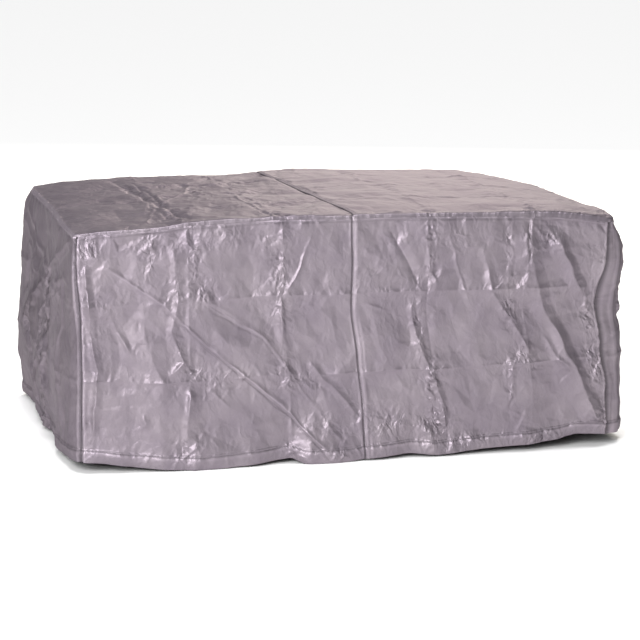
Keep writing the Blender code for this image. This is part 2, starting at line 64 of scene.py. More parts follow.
MIDDLE_SEAM = 0.012  # where the middle seam crosses the front edge
LAP_WIDTH = 0.015  # the right panels lap over the left ones by this much
LAP_LIFT = 0.0015
LAP_STEP = 0.004  # the lap's edge steps down over this much
LEAN_REACH = 0.35  # cloth on each side of the middle seam that leans with it
LEAN_DOWN_FRONT = 0.033  # the seam runs this far to the right on its way down the front
# and this far to the right at each place over the top: (y, millimetres)
LEAN_OVER_TOP = [(-0.60, 0), (-0.40, -22), (-0.10, -44), (0.28, -68), (0.60, -74)]

HEM_DEPTH = 0.044
HEM_LIFT = 0.0012  # the doubled cloth of the hem
HEM_PUFF = 0.0025  # the hem swells between its stitching and its lower edge
HEM_STEP = 0.004  # its upper edge steps down over this much
HEM_STITCHES = HEM_DEPTH - HEM_STEP - 0.002  # how high its stitching runs

SHEET = 0.0008  # the thickness of the cloth
KEPT_FACETS = 0.56  # of the inner face
SHARP = 60  # degrees between two facets that meet in a sharp edge
STITCH_PITCH = 0.005
STITCH_LENGTH = 0.0036
THREAD = 0.0010
STITCHES_IN = 0.006  # how far a seam's stitches run from its edge
BESIDE_STITCH = 0.002  # the cloth's lie is felt this far from a stitch
# how strongly the upright seams stand out at the ends of each side, in millimetres
CORNER_GROOVES = {"front": (2.6, 1.6), "back": (1.4, 1.4), "left": (2.6, 1.4), "right": (1.6, 1.4)}

# How far apart a sheet is ruled, and lines that it is ruled along as well
STEP = {"front": 0.0029, "back": 0.006, "left": 0.0052, "right": 0.0052, "top": 0.0044}
BELOW_STITCHES = 0.012
BESIDE_CORNER = 0.016
BESIDE_LAP = 0.006

WEAVE_PITCH = 0.0014  # as drawn
FLOOR_REACH = 60
LENS = 149.45
CAMERA_TURNS = (-12.03, 10.48, -0.20)  # yaw, pitch, roll in degrees
CAMERA_PLACE = (-1.778, -8.493, 1.941)

# The top's rise above its corners along each edge: (place along the edge, millimetres)
FRONT_RISE = [(-0.85, 7), (-0.745, 14), (-0.625, 19), (-0.565, 23), (-0.50, 32), (-0.375, 35),
              (-0.24, 42), (-0.105, 40), (0.012, 38), (0.13, 39), (0.26, 38), (0.43, 33), (0.587, 28),
              (0.71, 19), (0.80, 7), (0.85, -1)]
BACK_RISE = [(-0.85, 0), (-0.745, 12), (-0.625, 17), (-0.50, 21), (-0.375, 21), (-0.24, 20),
             (-0.105, 20), (0.012, 27), (0.13, 34), (0.26, 28), (0.395, 22), (0.53, 18), (0.67, 11),
             (0.755, -3), (0.85, -25)]
LEFT_RISE = [(-0.60, 7), (-0.31, 7), (-0.12, 10), (0.18, 4), (0.39, 4), (0.60, 0)]
RIGHT_RISE = [(-0.60, -1), (-0.48, 9), (-0.21, 8), (0.08, 1), (0.28, -8), (0.50, -20), (0.60, -25)]

# Swellings of the top over what it covers: (x, y, reach, millimetres)
TOP_SWELLS = [(-0.10, -0.05, 0.22, -4), (0.38, 0.02, 0.28, 7), (-0.68, 0.15, 0.16, -4),
              (0.66, -0.15, 0.16, 4)]

# How far the top's edges bow outwards: (place along the edge, millimetres)
EDGE_OUT = {
    "front": [(-0.85, 0), (-0.565, 4), (-0.24, -2), (0.012, 1), (0.26, 5), (0.587, 2), (0.85, 0)],
    "back": [(-0.85, 0), (-0.50, 6), (-0.105, 1), (0.26, 5), (0.65, -2), (0.85, 0)],
    "left": [(-0.60, 0), (-0.31, 4), (0.08, -2), (0.50, 8), (0.60, 0)],
    "right": [(-0.60, 0), (-0.565, 18), (-0.48, 20), (-0.31, 4), (-0.02, 0), (0.28, 6), (0.60, 0)],
}

# The hem's height above the ground along each side: (place along the side, millimetres)
HEM_HEIGHT = {
    "front": [(-0.85, 36), (-0.775, 30), (-0.685, 17), (-0.595, 7), (-0.47, 0), (-0.34, 6), (-0.24, 14),
              (-0.207, 17), (-0.175, 2), (-0.065, 0), (0.012, 6), (0.165, 14), (0.26, 6), (0.43, 17),
              (0.587, 22), (0.68, 32), (0.74, 44), (0.80, 41), (0.85, 37)],
    "back": [(-0.85, 12), (-0.62, 5), (-0.40, 14), (-0.15, 4), (0.13, 12), (0.36, 5), (0.60, 16),
             (0.85, 22)],
    "left": [(-0.60, 36), (-0.48, 27), (-0.22, 20), (-0.02, 10), (0.18, 15), (0.38, 8), (0.60, 12)],
    "right": [(-0.60, 36), (-0.40, 28), (-0.12, 18), (0.18, 12), (0.38, 17), (0.60, 22)],
}

# How far out the cloth hangs, in millimetres, at each of these heights up the skirt.
# At the top seam it is 0.
LEVELS = [0.0, 0.16, 0.32, 0.46, 0.64]
CORNER_OUT = {  # (along X, along Y) at each level
    "front_left": [(-2, 4), (-3, 8), (-7, 8), (-5, 6), (4, 3)],
    "front_right": [(2, -4), (2, -8), (-18, -10), (-38, -8), (-3, 0)],
    "back_left": [(40, 20), (54, 25), (54, 22), (44, 15), (34, 10)],
    "back_right": [(20, 20), (25, 25), (30, 20), (24, 14), (12, 6)],
}
SIDE_OUT = {  # (place along the side, out at each level)
    "front": [
        (-0.80, (6, 8, 8, 6, 2)), (-0.70, (20, 14, 8, 5, 2)), (-0.58, (34, 22, 12, 8, 3)),
        (-0.47, (42, 27, 16, 9, 3)), (-0.34, (38, 24, 13, 8, 3)), (-0.22, (10, 15, 11, 7, 3)),
        (-0.15, (44, 18, 9, 7, 3)), (-0.03, (34, 20, 12, 9, 3)), (0.06, (24, 16, 12, 9, 3)),
        (0.16, (12, 13, 12, 10, 3)), (0.26, (20, 14, 12, 10, 3)), (0.40, (16, 14, 16, 12, 4)),
        (0.55, (14, 12, 16, 14, 4)), (0.68, (4, 4, 8, 6, 3)), (0.78, (-4, -6, -6, -2, 1)),
    ],
    "back": [
        (-0.75, (24, 24, 18, 12, 6)), (-0.55, (10, 18, 16, 10, 4)), (-0.35, (26, 22, 14, 8, 3)),
        (-0.10, (14, 16, 12, 8, 3)), (0.10, (28, 20, 12, 8, 3)), (0.35, (12, 16, 14, 8, 3)),
        (0.60, (28, 22, 14, 8, 4)), (0.76, (16, 20, 16, 10, 5)),
    ],
    "left": [
        (-0.52, (16, 14, 10, 6, 4)), (-0.40, (22, 24, 20, 12, 6)), (-0.26, (26, 30, 28, 16, 8)),
        (-0.07, (14, 34, 34, 22, 8)), (0.04, (31, 38, 38, 24, 10)), (0.18, (29, 42, 44, 28, 10)),
        (0.42, (17, 46, 50, 34, 16)), (0.52, (24, 50, 54, 38, 22)),
    ],
    "right": [
        (-0.56, (26, 24, 20, 6, 22)), (-0.50, (50, 46, 50, 38, 40)), (-0.36, (48, 44, 46, 42, 24)),
        (-0.15, (30, 40, 44, 36, 16)), (0.10, (24, 34, 40, 32, 12)), (0.35, (28, 34, 36, 26, 10)),
        (0.50, (22, 28, 32, 24, 11)),
    ],
}

# A fold's crest runs along its path and rises from the first height to the second. The cloth falls
# off it in a curve on the left and in a plane on the right, over a reach of its own on each side. A
# height below zero is a groove. Paths run downwards on a skirt and towards the front on the top, so
# that right is +X or +Y. Heights are in millimetres.
Fold = namedtuple("Fold", "first second left_reach right_reach path")


def folds_of(rows):
    """Folds from rows of millimetres: a fold's heights at its two ends, its reaches to the left and the
    right, and then u and v of each point of its path."""
    made = []
    for first, second, left, right, *path in rows:
        points = [(path[k] / 1000, path[k + 1] / 1000) for k in range(0, len(path), 2)]
        made.append(Fold(first, second, left / 1000, right / 1000, points))
    return made


# Paths on the front that a fold or crease and the painted light and shade along it share
DIAGONAL = (-740, 627, -580, 513, -410, 343, -320, 258, -100, 33)
SECOND_DIAGONAL = (-465, 522, -275, 392, -150, 192)
GROOVE = (580, 739, 575, 657, 585, 575)
DRAWN_STEP = (130, 715, 170, 640, 225, 535)

FRONT_FOLDS = folds_of([
    # long slanting folds of the left half
    (2, 3, 14, 12, -770, 650, -580, 510, -410, 340, -320, 255, -100, 30),
    (1, 2, 14, 12, -465, 520, -365, 470, -275, 390, -150, 190, -55, 50),
    (4, 5, 24, 18, -145, 305, -60, 210, 5, 125),
    (3, 6, 9, 12, -110, 700, -195, 515),
    # upright ridges along the packing folds
    (5, 11, 24, 34, -545, 690, -535, 520, -555, 430, -525, 325, -565, 290),
    (8, 5, 22, 26, -508, 250, -523, 60),
    (11, 6, 28, 14, -206, 510, -219, 350),
    (4, 7, 26, 18, 246, 715, 260, 550),
    (6, 11, 36, 22, 207, 500, 218, 355, 275, 170, 294, 80),
    (6, 3, 20, 14, 530, 270, 503, 110),
    # steps that draw the cloth back towards the right corner
    (4, 9, 30, 24, 425, 650, 475, 510, 530, 430, 600, 295),
    (4, 7, 30, 16, 640, 360, 725, 210),
    (-5, -6, 26, 30, *DRAWN_STEP),
    (8, 28, 100, 36, 580, 700, 577, 620, 635, 510, 700, 340, 770, 140, 810, 30),
    (9, 20, 60, 28, 670, 690, 690, 630, 740, 555, 800, 485),
    # small ridges near the left corner
    (8, 9, 22, 24, -815, 660, -815, 430, -790, 300, -805, 80),
    (4, 6, 20, 24, -760, 500, -715, 420, -690, 350),
    (3, 5, 16, 20, -660, 170, -635, 115),
])
BACK_FOLDS = folds_of([
    (6, 12, 40, 40, -740, 620, -500, 340, -300, 60),
    (6, 12, 40, 40, 720, 600, 520, 330, 360, 50),
    (5, 8, 36, 36, 160, 660, 200, 400, 140, 160),
])
LEFT_FOLDS = folds_of([
    (6, 10, 50, 40, 520, 660, 300, 580, 100, 420, -20, 290, -140, 100),
    (-8, -6, 40, 40, 360, 360, 220, 100),
    (5, 9, 36, 36, -440, 620, -360, 340, -420, 80),
])
RIGHT_FOLDS = folds_of([
    (-8, -10, 30, 30, -440, 680, -420, 340, -450, 50),
    (6, 10, 45, 45, 20, 640, 120, 380, 80, 100),
])
TOP_FOLDS = folds_of([
    (-4, -8, 26, 30, -580, 520, -550, 80, -520, -220, -485, -560),
    (-2, -5, 25, 25, -245, -320, -238, -570),
    (-4, -2, 30, 30, -520, 420, -390, 330, -280, 250, -140, 70),
    (-4, -2, 30, 30, 270, 540, 250, 400, 350, 380),
    (2, 3, 40, 40, 290, 100, 260, -560),
    (-2, -4, 30, 30, 610, 400, 587, -560),
])

# The creases of its packing, straight across every panel: (place, millimetres, reach)
LEVEL_CREASES = [(0.270, 4, 0.028), (0.515, 4, 0.028)]  # up a skirt
# along X
UPRIGHT_CREASES = [(-0.50, 3, 0.024), (-0.207, 3, 0.024), (0.26, -3, 0.024), (0.587, 3, 0.024)]
TOP_CREASES = UPRIGHT_CREASES[2:]
CROSS_CREASES = [(-0.31, 3, 0.026), (-0.02, -3, 0.026), (0.28, 3, 0.026)]  # along Y
FOLD_CURVE = 2.2  # the power by which the curved side of a fold falls off
FOLD_CURVE_RIGHT = 1.3  # and its nearly plane side
FOLD_TIP = 0.035  # a fold dies out over this much at each end
TIP_HEIGHT = 0.15  # down to this share of its height
CROOKED = ((0.005, 0.060), (0.002, 0.025))  # how far a fold swings about its path, and over what way
UNEVEN = 0.3  # share of its height by which a fold rises and falls along its way
CORNER_CALM = 0.030  # folds fade out this close to a corner seam
TOP_CALM = 0.035  # and this close to the top seam
TOP_SEAM_CALM = 0.014  # fine creases fade out this close to a seam of the top
SKIRT_SEAM_CALM = 0.012  # of a skirt
LAP_CALM = 0.010  # and to the lap of the middle seam

TOP_SEEDS = (5, 10)  # for the unevenness of its packing creases and of its folds
SKIRT_SEEDS = (6, 20)

# The middle of the hung cloth's box, from the middle between the corner seams
BOX_MIDDLE = (0.004, -0.006)

# What tells one side's skirt from another's: the axis it runs along, the way it faces, its corners
# and its folds
Side = namedtuple("Side", "axis facing corners folds creases")
SIDES = {
    "front": Side(0, -1, ("front_left", "front_right"), FRONT_FOLDS, UPRIGHT_CREASES),
    "back": Side(0, 1, ("back_left", "back_right"), BACK_FOLDS, UPRIGHT_CREASES),
    "left": Side(1, -1, ("front_left", "back_left"), LEFT_FOLDS, CROSS_CREASES),
    "right": Side(1, 1, ("front_right", "back_right"), RIGHT_FOLDS, CROSS_CREASES),
}
ENDS = ("left", "right")
HALVED = ("top", "front", "back")  # the sides that the middle seam parts
HALF = (LENGTH / 2, DEPTH / 2)


def ease(t):
    """0 to 1, level at both ends."""
    t = np.clip(t, 0, 1)
    return t * t * (3 - 2 * t)


def between(places, table):
    """A table's second column read at these places, in metres."""
    where, millimetres = zip(*table)
    return np.interp(places, where, millimetres) * MM


def smooth_between(places, where, values):
    """As np.interp, but level at each row of the table, so that the curve has no corners."""
    where = np.asarray(where)
    values = np.asarray(values, float)
    row = np.clip(np.searchsorted(where, places, side="right") - 1, 0, len(where) - 2)
    share = ease((places - where[row]) / (where[row + 1] - where[row]))
    return values[row] * (1 - share) + values[row + 1] * share


def across_levels(height, at_level):
    """Reads one array for each level at these heights up a skirt, down to 0 at the top seam."""
    total = at_level[-1] * (1 - np.clip((height - LEVELS[-1]) / (SKIRT_CLOTH - LEVELS[-1]), 0, 1) ** 2)
    for low, high, below, above in zip(LEVELS, LEVELS[1:], at_level, at_level[1:]):
        share = ease((height - low) / (high - low))
        inside = (height >= low) & (height < high)
        total = np.where(inside, below * (1 - share) + above * share, total)
    return total


def fold_height(u, v, fold):
    """How far a fold stands out at (u, v) of the flat cloth."""
    nearest = np.full_like(u, np.inf)
    to_right = np.zeros_like(u, bool)
    passed = np.zeros_like(u)
    so_far = 0
    for (u0, v0), (u1, v1) in zip(fold.path, fold.path[1:]):
        length = np.hypot(u1 - u0, v1 - v0)
        along = np.clip(((u - u0) * (u1 - u0) + (v - v0) * (v1 - v0)) / length**2, 0, 1)
        away = np.hypot(u - u0 - along * (u1 - u0), v - v0 - along * (v1 - v0))
        closer = away < nearest
        nearest = np.where(closer, away, nearest)
        passed = np.where(closer, so_far + along * length, passed)
        to_right = np.where(closer, (u1 - u0) * (v - v0) > (v1 - v0) * (u - u0), to_right)
        so_far += length
    left = np.clip(1 - nearest / fold.left_reach, 0, 1) ** FOLD_CURVE
    right = np.clip(1 - nearest / fold.right_reach, 0, 1) ** FOLD_CURVE_RIGHT
    height = fold.first + (fold.second - fold.first) * passed / so_far
    tip = min(FOLD_TIP, so_far / 2)
    at_tip = ease(np.minimum(passed, so_far - passed) / tip)
    height = height * (TIP_HEIGHT + (1 - TIP_HEIGHT) * at_tip)
    return height * MM * np.where(to_right, right, left)


CELLS = 128  # of the random field that wander reads
FIRST_CELL = 60  # where u and v are 0


def wander(u, v, spacing, seed):
    """A slow random swing between -1 and 1 over the cloth, the same for any panel that asks for it."""
    chance = np.random.default_rng(seed).uniform(-1, 1, (CELLS, CELLS))
    a = u / spacing + FIRST_CELL
    b = v / spacing + FIRST_CELL
    i, j = np.floor(a).astype(int), np.floor(b).astype(int)
    p, q = ease(a - i), ease(b - j)
    low = chance[i, j] * (1 - p) + chance[i + 1, j] * p
    high = chance[i, j + 1] * (1 - p) + chance[i + 1, j + 1] * p
    return low * (1 - q) + high * q


def folds_at(side_folds, u, v, seed):
    """A side's folds, each a little crooked and uneven along its way."""
    u1, v1 = u, v
    for k, (swing, spacing) in enumerate(CROOKED):
        u1 = u1 + swing * wander(u, v, spacing, seed + k)
        v1 = v1 + swing * wander(u, v, spacing, seed + k + 2)
    uneven = 1 + UNEVEN * wander(u, v, 0.055, seed + 4)
    return uneven * sum(fold_height(u1, v1, fold) for fold in side_folds)


def crease_height(place, creases):
    total = np.zeros_like(place)
    for at, rise, reach in creases:
        total = total + rise * MM * np.exp(-np.abs(place - at) / reach)
    return total


def uneven_folds(creases, side_folds, u, v, seeds):
    """A side's packing creases, here stronger and there weaker, and its folds."""
    return creases * (0.7 + 0.5 * wander(u, v, 0.11, seeds[0])) + folds_at(side_folds, u, v, seeds[1])


def top_rise(x, y):
    """The top's rise above its corners: its four edges blended, and its swellings."""
    p = x / LENGTH + 0.5
    q = y / DEPTH + 0.5
    front, back = between(x, FRONT_RISE), between(x, BACK_RISE)
    left, right = between(y, LEFT_RISE), between(y, RIGHT_RISE)
    corners = [[FRONT_RISE[0][1], FRONT_RISE[-1][1]], [BACK_RISE[0][1], BACK_RISE[-1][1]]]
    at_front = corners[0][0] * (1 - p) + corners[0][1] * p
    at_back = corners[1][0] * (1 - p) + corners[1][1] * p
    twice = (at_front * (1 - q) + at_back * q) * MM
    rise = front * (1 - q) + back * q + left * (1 - p) + right * p - twice
    off_edge = np.clip(1 - (x / HALF[0]) ** 2, 0, 1) * np.clip(1 - (y / HALF[1]) ** 2, 0, 1)
    for at_x, at_y, reach, swell in TOP_SWELLS:
        rise = rise + swell * MM * off_edge * np.exp(-((x - at_x) ** 2 + (y - at_y) ** 2) / reach**2)
    return rise


def edges_out(x, y):
    """How far the cloth moves along X and Y with the bow of the top's edges."""
    p = x / LENGTH + 0.5
    q = y / DEPTH + 0.5
    along_x = p * between(y, EDGE_OUT["right"]) - (1 - p) * between(y, EDGE_OUT["left"])
    along_y = q * between(x, EDGE_OUT["back"]) - (1 - q) * between(x, EDGE_OUT["front"])
    return along_x, along_y


def seam_lean(x, y, up):
    """How far the cloth leans sideways with the middle seam. up is 1 at the top seam and 0 at the hem."""
    near = np.exp(-(((x - MIDDLE_SEAM) / LEAN_REACH) ** 2)) * np.clip(1 - (x / HALF[0]) ** 2, 0, 1)
    down_front = LEAN_DOWN_FRONT * (1 - up) * (y < 0)
    return near * (down_front + between(y, LEAN_OVER_TOP))


def into_corner(x, y, reach):
    """How far a point is into a corner along each axis: a square of this reach drawn into a disc."""
    a = np.clip((np.abs(x) - HALF[0] + reach) / reach, 0, 1)
    b = np.clip((np.abs(y) - HALF[1] + reach) / reach, 0, 1)
    return a * np.sqrt(1 - b * b / 2), b * np.sqrt(1 - a * a / 2)


def round_corners(x, y):
    """The plan with its corners rounded."""
    into_x, into_y = into_corner(x, y, CORNER_RADIUS)
    round_x = np.where(into_x > 0, np.sign(x) * (HALF[0] + CORNER_RADIUS * (into_x - 1)), x)
    round_y = np.where(into_y > 0, np.sign(y) * (HALF[1] + CORNER_RADIUS * (into_y - 1)), y)
    return round_x, round_y


def outward(x, y):
    """The level direction in which the cloth faces at the rim and on the skirts."""
    into_x, into_y = into_corner(x, y, CORNER_TURN)
    facing = np.stack([np.sign(x) * into_x, np.sign(y) * into_y, np.zeros_like(x)], axis=1)
    return facing / np.maximum(np.linalg.norm(facing, axis=1, keepdims=True), MM)


def lap_lift(x):
    """The lapped cloth along the middle seam."""
    past = x - MIDDLE_SEAM
    return LAP_LIFT * (past > 0) * np.clip((LAP_WIDTH + LAP_STEP - past) / LAP_STEP, 0, 1)


def welt(distance):
    """The turned-in edges at the top seam."""
    return SEAM_WELT * np.clip(1 - distance / WELT_REACH, 0, 1)


def hem_lift(height):
    """The hem: doubled cloth that swells below its stitching."""
    share = np.clip(height / HEM_DEPTH, 0, 1)
    return (share < 1) * (HEM_LIFT + HEM_PUFF * 4 * share * (1 - share))


def edge_drop(x):
    return np.interp(x, [-HALF[0], HALF[0]], EDGE_DROP)


# ---- Creases finer than the frame's, each as a Fold with reaches of a few millimetres ----

FRONT_CREASES = folds_of([
    # along the upright packing creases
    (1.6, 1.2, 14, 7, -207, 735, -204, 620, -207, 520),
    (1.2, 1.6, 12, 7, -200, 262, -205, 124, -215, 37),
    (1.4, 1.6, 10, 6, -502, 391, -502, 308),
    (2, 2.4, 12, 8, 246, 735, 262, 660, 252, 600, 287, 533),
    (1.6, 1.2, 9, 6, 264, 735, 278, 670, 266, 610, 272, 550),
    (1.8, 1, 12, 8, 523, 727, 527, 513),
    (-4, -3, 9, 8, *GROOVE),
    (1, 1.8, 6, 4, *DIAGONAL),
    (-1.2, -2.4, 4, 6, -600, 518, -414, 337, -324, 250, -104, 25),
    (1, 0.7, 6, 4, *SECOND_DIAGONAL),
    (-0.9, -0.7, 4, 6, -468, 513, -279, 384, -154, 184),
    # shorter creases of the left half
    (2.2, 2.6, 14, 8, -224, 592, -237, 522),
    (1.8, 1.2, 10, 6, -617, 733, -637, 651),
    (1.8, 1.4, 10, 6, -610, 687, -635, 589),
    (2, 1.2, 12, 7, -385, 282, -462, 230),
    (1.6, 1.2, 12, 7, -470, 270, -378, 171),
    (1.6, 1.6, 12, 7, -642, 176, -667, 120),
    (3, 2.4, 14, 8, -792, 715, -818, 690, -835, 620),
    (2.4, 1.4, 12, 8, -843, 521, -800, 533, -757, 543),
    # shorter creases of the right half
    (1.8, 1.2, 14, 8, 50, 487, 139, 448),
    (2.2, 1.6, 14, 8, 327, 661, 359, 567, 405, 471),
    (1.8, 1.4, 12, 8, 513, 695, 521, 538),
    (1.8, 1.4, 12, 8, 245, 215, 258, 168, 278, 87),
    (2, 2, 12, 8, 515, 497, 571, 446),
    (2.4, 2.4, 14, 9, 630, 729, 678, 655),
    (2, 1.6, 12, 8, 605, 715, 640, 640),
    (2, 2, 12, 8, 525, 479, 545, 421),
    (-2.6, -2, 8, 8, 270, 172, 270, 134),
    (-2.2, -2.2, 8, 8, 263, 124, 260, 70),
    (3, 3, 16, 10, 530, 36, 563, 98),
    (3, 3, 18, 10, 800, 294, 835, 210),
    # pleats that curl at the hem
    (3.5, 3, 12, 9, -185, 40, -235, 4),
    (3.5, 3, 10, 8, -52, 30, -85, 4),
    (3, 3, 10, 8, -497, 62, -545, 26),
    (3, 2.5, 10, 8, -20, 45, 0, 5),
])
BACK_CREASES = folds_of([
    (2, 1.4, 14, 8, -300, 700, -360, 550, -330, 440),
    (2.2, 1.6, 14, 8, 420, 680, 360, 560),
    (1.8, 1.8, 12, 8, -80, 360, -20, 220, -60, 100),
    (2.4, 1.6, 14, 9, 600, 260, 660, 100),
    (2.4, 1.8, 14, 9, -620, 240, -660, 90),
])
LEFT_CREASES = folds_of([
    # a smooth sweep from the near corner to a crumpled column
    (3, 10, 260, 50, -190, 640, -170, 400, -200, 80),
    (9, 12, 26, 40, -120, 585, -70, 500, -125, 430, -60, 350),
    (12, 10, 26, 40, -80, 360, -120, 290, -50, 210, -90, 120),
    (8, 8, 22, 30, -20, 450, 20, 380, -20, 300),
    # long creases that fan from the top
    (7, 8, 22, 30, 500, 715, 209, 600, -40, 560),
    (5, 6, 20, 30, 420, 590, 150, 510),
    (6, 8, 26, 26, -535, 727, -330, 650, -110, 575),
    (4, 6, 30, 22, -500, 600, -250, 540),
    # three-cornered hollows of the far part, dark on the side that faces away
    (13, 13, 32, 60, 50, 500, 200, 390, 100, 250),
    (13, 12, 34, 60, 190, 450, 370, 310, 260, 130),
    (9, 10, 30, 50, 90, 230, 190, 130, 150, 40),
    (-9, -9, 50, 40, 340, 540, 430, 400),
    # the hem curls
    (4, 4, 16, 12, -57, 108, 75, 10),
])
RIGHT_CREASES = folds_of([
    (-5, -6, 12, 10, -578, 700, -575, 400, -580, 60),
    (6, 7, 14, 12, -552, 720, -548, 420, -555, 40),
    (-7, -6, 12, 14, -525, 690, -520, 380, -528, 60),
    (6, 6, 16, 12, -470, 700, -462, 360, -475, 50),
    (-7, -7, 14, 16, -435, 700, -430, 380, -440, 60),
    (3, 3, 12, 10, -500, 720, -490, 400, -505, 60),
    (2.4, 2.4, 12, 10, -380, 700, -360, 440),
    (2.4, 2, 14, 10, 300, 660, 220, 500),
])
TOP_CREASES_FINE = folds_of([
    (-3, -3.5, 12, 10, -560, 400, -540, 50, -555, -220, -520, -560),
    (-3, -4.5, 9, 10, -530, 400, -512, 50, -522, -220, -488, -560),
    (1.6, 1.6, 12, 10, -330, 270, -400, 50, -490, -110, -560, -300, -625, -520),
    (3, 2.4, 14, 10, -467, 415, -300, 220, -105, 15),
    (3.2, 2.6, 16, 10, 300, 480, 250, 250, 238, 65),
    (2.6, 2.6, 14, 10, -245, -100, -236, -570),
    (2, 2.6, 14, 10, 590, 200, 585, -570),
])
CREASES = {"front": FRONT_CREASES, "back": BACK_CREASES, "left": LEFT_CREASES, "right": RIGHT_CREASES,
           "top": TOP_CREASES_FINE}

# The packing creases themselves, where the folded cloth was pressed: a sharp ridge on the crown of
# the frame's soft one. (place, millimetres, reach)
PRESSED = {
    "level": [(0.270, 2.2, 0.005), (0.515, 2.0, 0.005)],
    "upright": [(-0.50, 1.2, 0.006), (-0.207, 1.2, 0.006), (0.26, -1, 0.006), (0.587, 1, 0.006)],
    "cross": [(-0.31, 1.2, 0.006), (-0.02, -1.2, 0.006), (0.28, 1.2, 0.006)],
}

# Cloth that was crushed takes flat facets between sharp creases. Each layer of them has a spacing of
# its facets' corners, and is that many times longer along its direction, which leans from upright by
# that many degrees. where says which cloth it lies in.
Crush = namedtuple("Crush", "seed where spacing stretch lean millimetres")
SCATTER = 0.45  # how far a corner strays from its place, as a share of the spacing
CRUSH_REACH = {"packing": 0.03, "rim": 0.03, "hem": 0.06, "corners": 0.05}  # it dies out over this much
SKIRT_CRUSHES = [
    Crush(11, "all", 0.095, 1.5, 25, 7.5),
    Crush(12, "all", 0.040, 1.3, -20, 2.6),
    Crush(13, "packing", 0.020, 1.2, 0, 2.0),
    Crush(14, "rim", 0.018, 2.4, 0, 1.7),
    Crush(15, "hem", 0.024, 1.8, 10, 2.6),
    Crush(16, "corners", 0.026, 2.0, -10, 3.6),
    Crush(17, "clumps", 0.021, 1.7, 12, 4.6),
]
END_CRUSHES = [
    Crush(31, "all", 0.110, 0.9, 25, 6.0),
    Crush(32, "all", 0.045, 0.9, -20, 2.2),
    Crush(33, "packing", 0.030, 1.0, 0, 2.4),
    Crush(34, "rim", 0.030, 1.4, 0, 3.0),
    Crush(35, "hem", 0.050, 1.0, 10, 3.0),
    Crush(37, "clumps", 0.055, 0.7, 12, 11.0),
]
TOP_CRUSHES = [
    Crush(21, "all", 0.110, 1.2, 0, 5.0),
    Crush(22, "all", 0.045, 1.2, 35, 2.2),
    Crush(23, "packing", 0.024, 1.0, 0, 2.6),
    Crush(24, "rim", 0.020, 1.0, 0, 1.4),
    Crush(25, "clumps", 0.022, 1.4, 0, 6.0),
]

# Short creases, tried this many to the square metre and kept where a random draw falls under the
# sum of these shares
SHORT_PER_SQUARE_METRE = 5000
SHORT_SHARES = {"all": 0.03, "clumps": 0.6, "rim": 0.12, "hem": 0.12, "corners": 0.3, "packing": 0.1}
Short = namedtuple("Short", "seed lean length")  # lean in degrees from upright, least length
SHORT = {
    "front": Short(51, 8, 0.016),
    "back": Short(52, 8, 0.016),
    "left": Short(53, 62, 0.040),
    "right": Short(54, 8, 0.024),
    "top": Short(55, 8, 0.016),
}
SHORT_SPREAD = 38  # how much their leans differ, in degrees
SHORT_REACH = 0.0032  # of the shortest, on each side
SLOPE = (0.13, 0.33)  # a short crease's height over its reach

# How deep the facets of the bump go: the sum of these shares
BUMP_SHARES = {"all": 0.12, "clumps": 0.65, "rim": 0.14, "hem": 0.1, "corners": 0.25, "packing": 0.15}

# Where it is crushed the most: (u, v, half width, half height, all in millimetres, strength)
CLUMPS = {
    "front": [
        (-615, 671, 20, 60, 0.8), (-477, 635, 24, 110, 1), (-540, 527, 26, 120, 0.7),
        (-447, 549, 45, 45, 0.8), (-215, 615, 22, 110, 0.9), (-797, 699, 25, 40, 1.2),
        (-492, 300, 40, 30, 0.8), (-370, 272, 50, 30, 0.9), (-232, 256, 40, 35, 0.8),
        (-522, 58, 35, 35, 1), (-212, 20, 40, 30, 0.4), (-70, 20, 35, 20, 1),
        (-385, 695, 80, 35, 0.6), (-230, 683, 60, 35, 0.6), (510, 655, 14, 75, 0.9),
        (580, 671, 14, 100, 0.5), (642, 685, 40, 35, 1.1), (535, 537, 65, 26, 0.8),
        (535, 447, 22, 40, 1.1), (560, 322, 26, 40, 1), (517, 204, 16, 80, 0.9),
        (803, 395, 20, 70, 0.9), (815, 254, 35, 70, 1.3), (225, 395, 18, 130, 0.7),
        (250, 220, 30, 85, 1.1), (257, 108, 45, 60, 1.4), (93, 112, 90, 60, 0.7),
        (-95, 100, 60, 50, 0.6), (-130, 238, 45, 45, 0.5), (375, 34, 100, 26, 0.7),
        (615, 20, 100, 26, 0.8), (825, 68, 30, 50, 0.9), (263, 641, 18, 90, 0.9),
        (162, 689, 30, 35, 0.5), (340, 677, 45, 35, 0.5),
    ],
    "back": [
        (-500, 560, 30, 100, 1), (260, 500, 30, 80, 1), (-207, 270, 50, 50, 0.9),
        (587, 270, 40, 70, 0.9), (50, 680, 80, 35, 0.7), (-700, 100, 60, 50, 1),
        (400, 60, 60, 40, 1),
    ],
    "left": [
        (-120, 520, 90, 50, 0.9), (-60, 410, 80, 90, 1), (-30, 270, 70, 90, 0.9),
        (0, 140, 60, 60, 0.9), (300, 330, 80, 60, 0.6), (10, 40, 70, 40, 1),
    ],
    "right": [
        (-500, 500, 30, 180, 1.1), (-310, 515, 50, 50, 0.9), (20, 600, 60, 50, 0.9),
        (280, 270, 60, 60, 1), (-100, 60, 80, 40, 1), (500, 400, 30, 120, 0.8),
    ],
    "top": [
        (-520, -300, 24, 220, 0.7), (-540, -500, 50, 70, 0.9), (-560, 200, 25, 200, 0.6),
        (-240, -500, 25, 80, 0.7), (587, -550, 30, 40, 0.8), (260, -560, 30, 30, 0.6),
        (-360, 100, 40, 160, 0.5),
    ],
}


# ---- Hanging ----


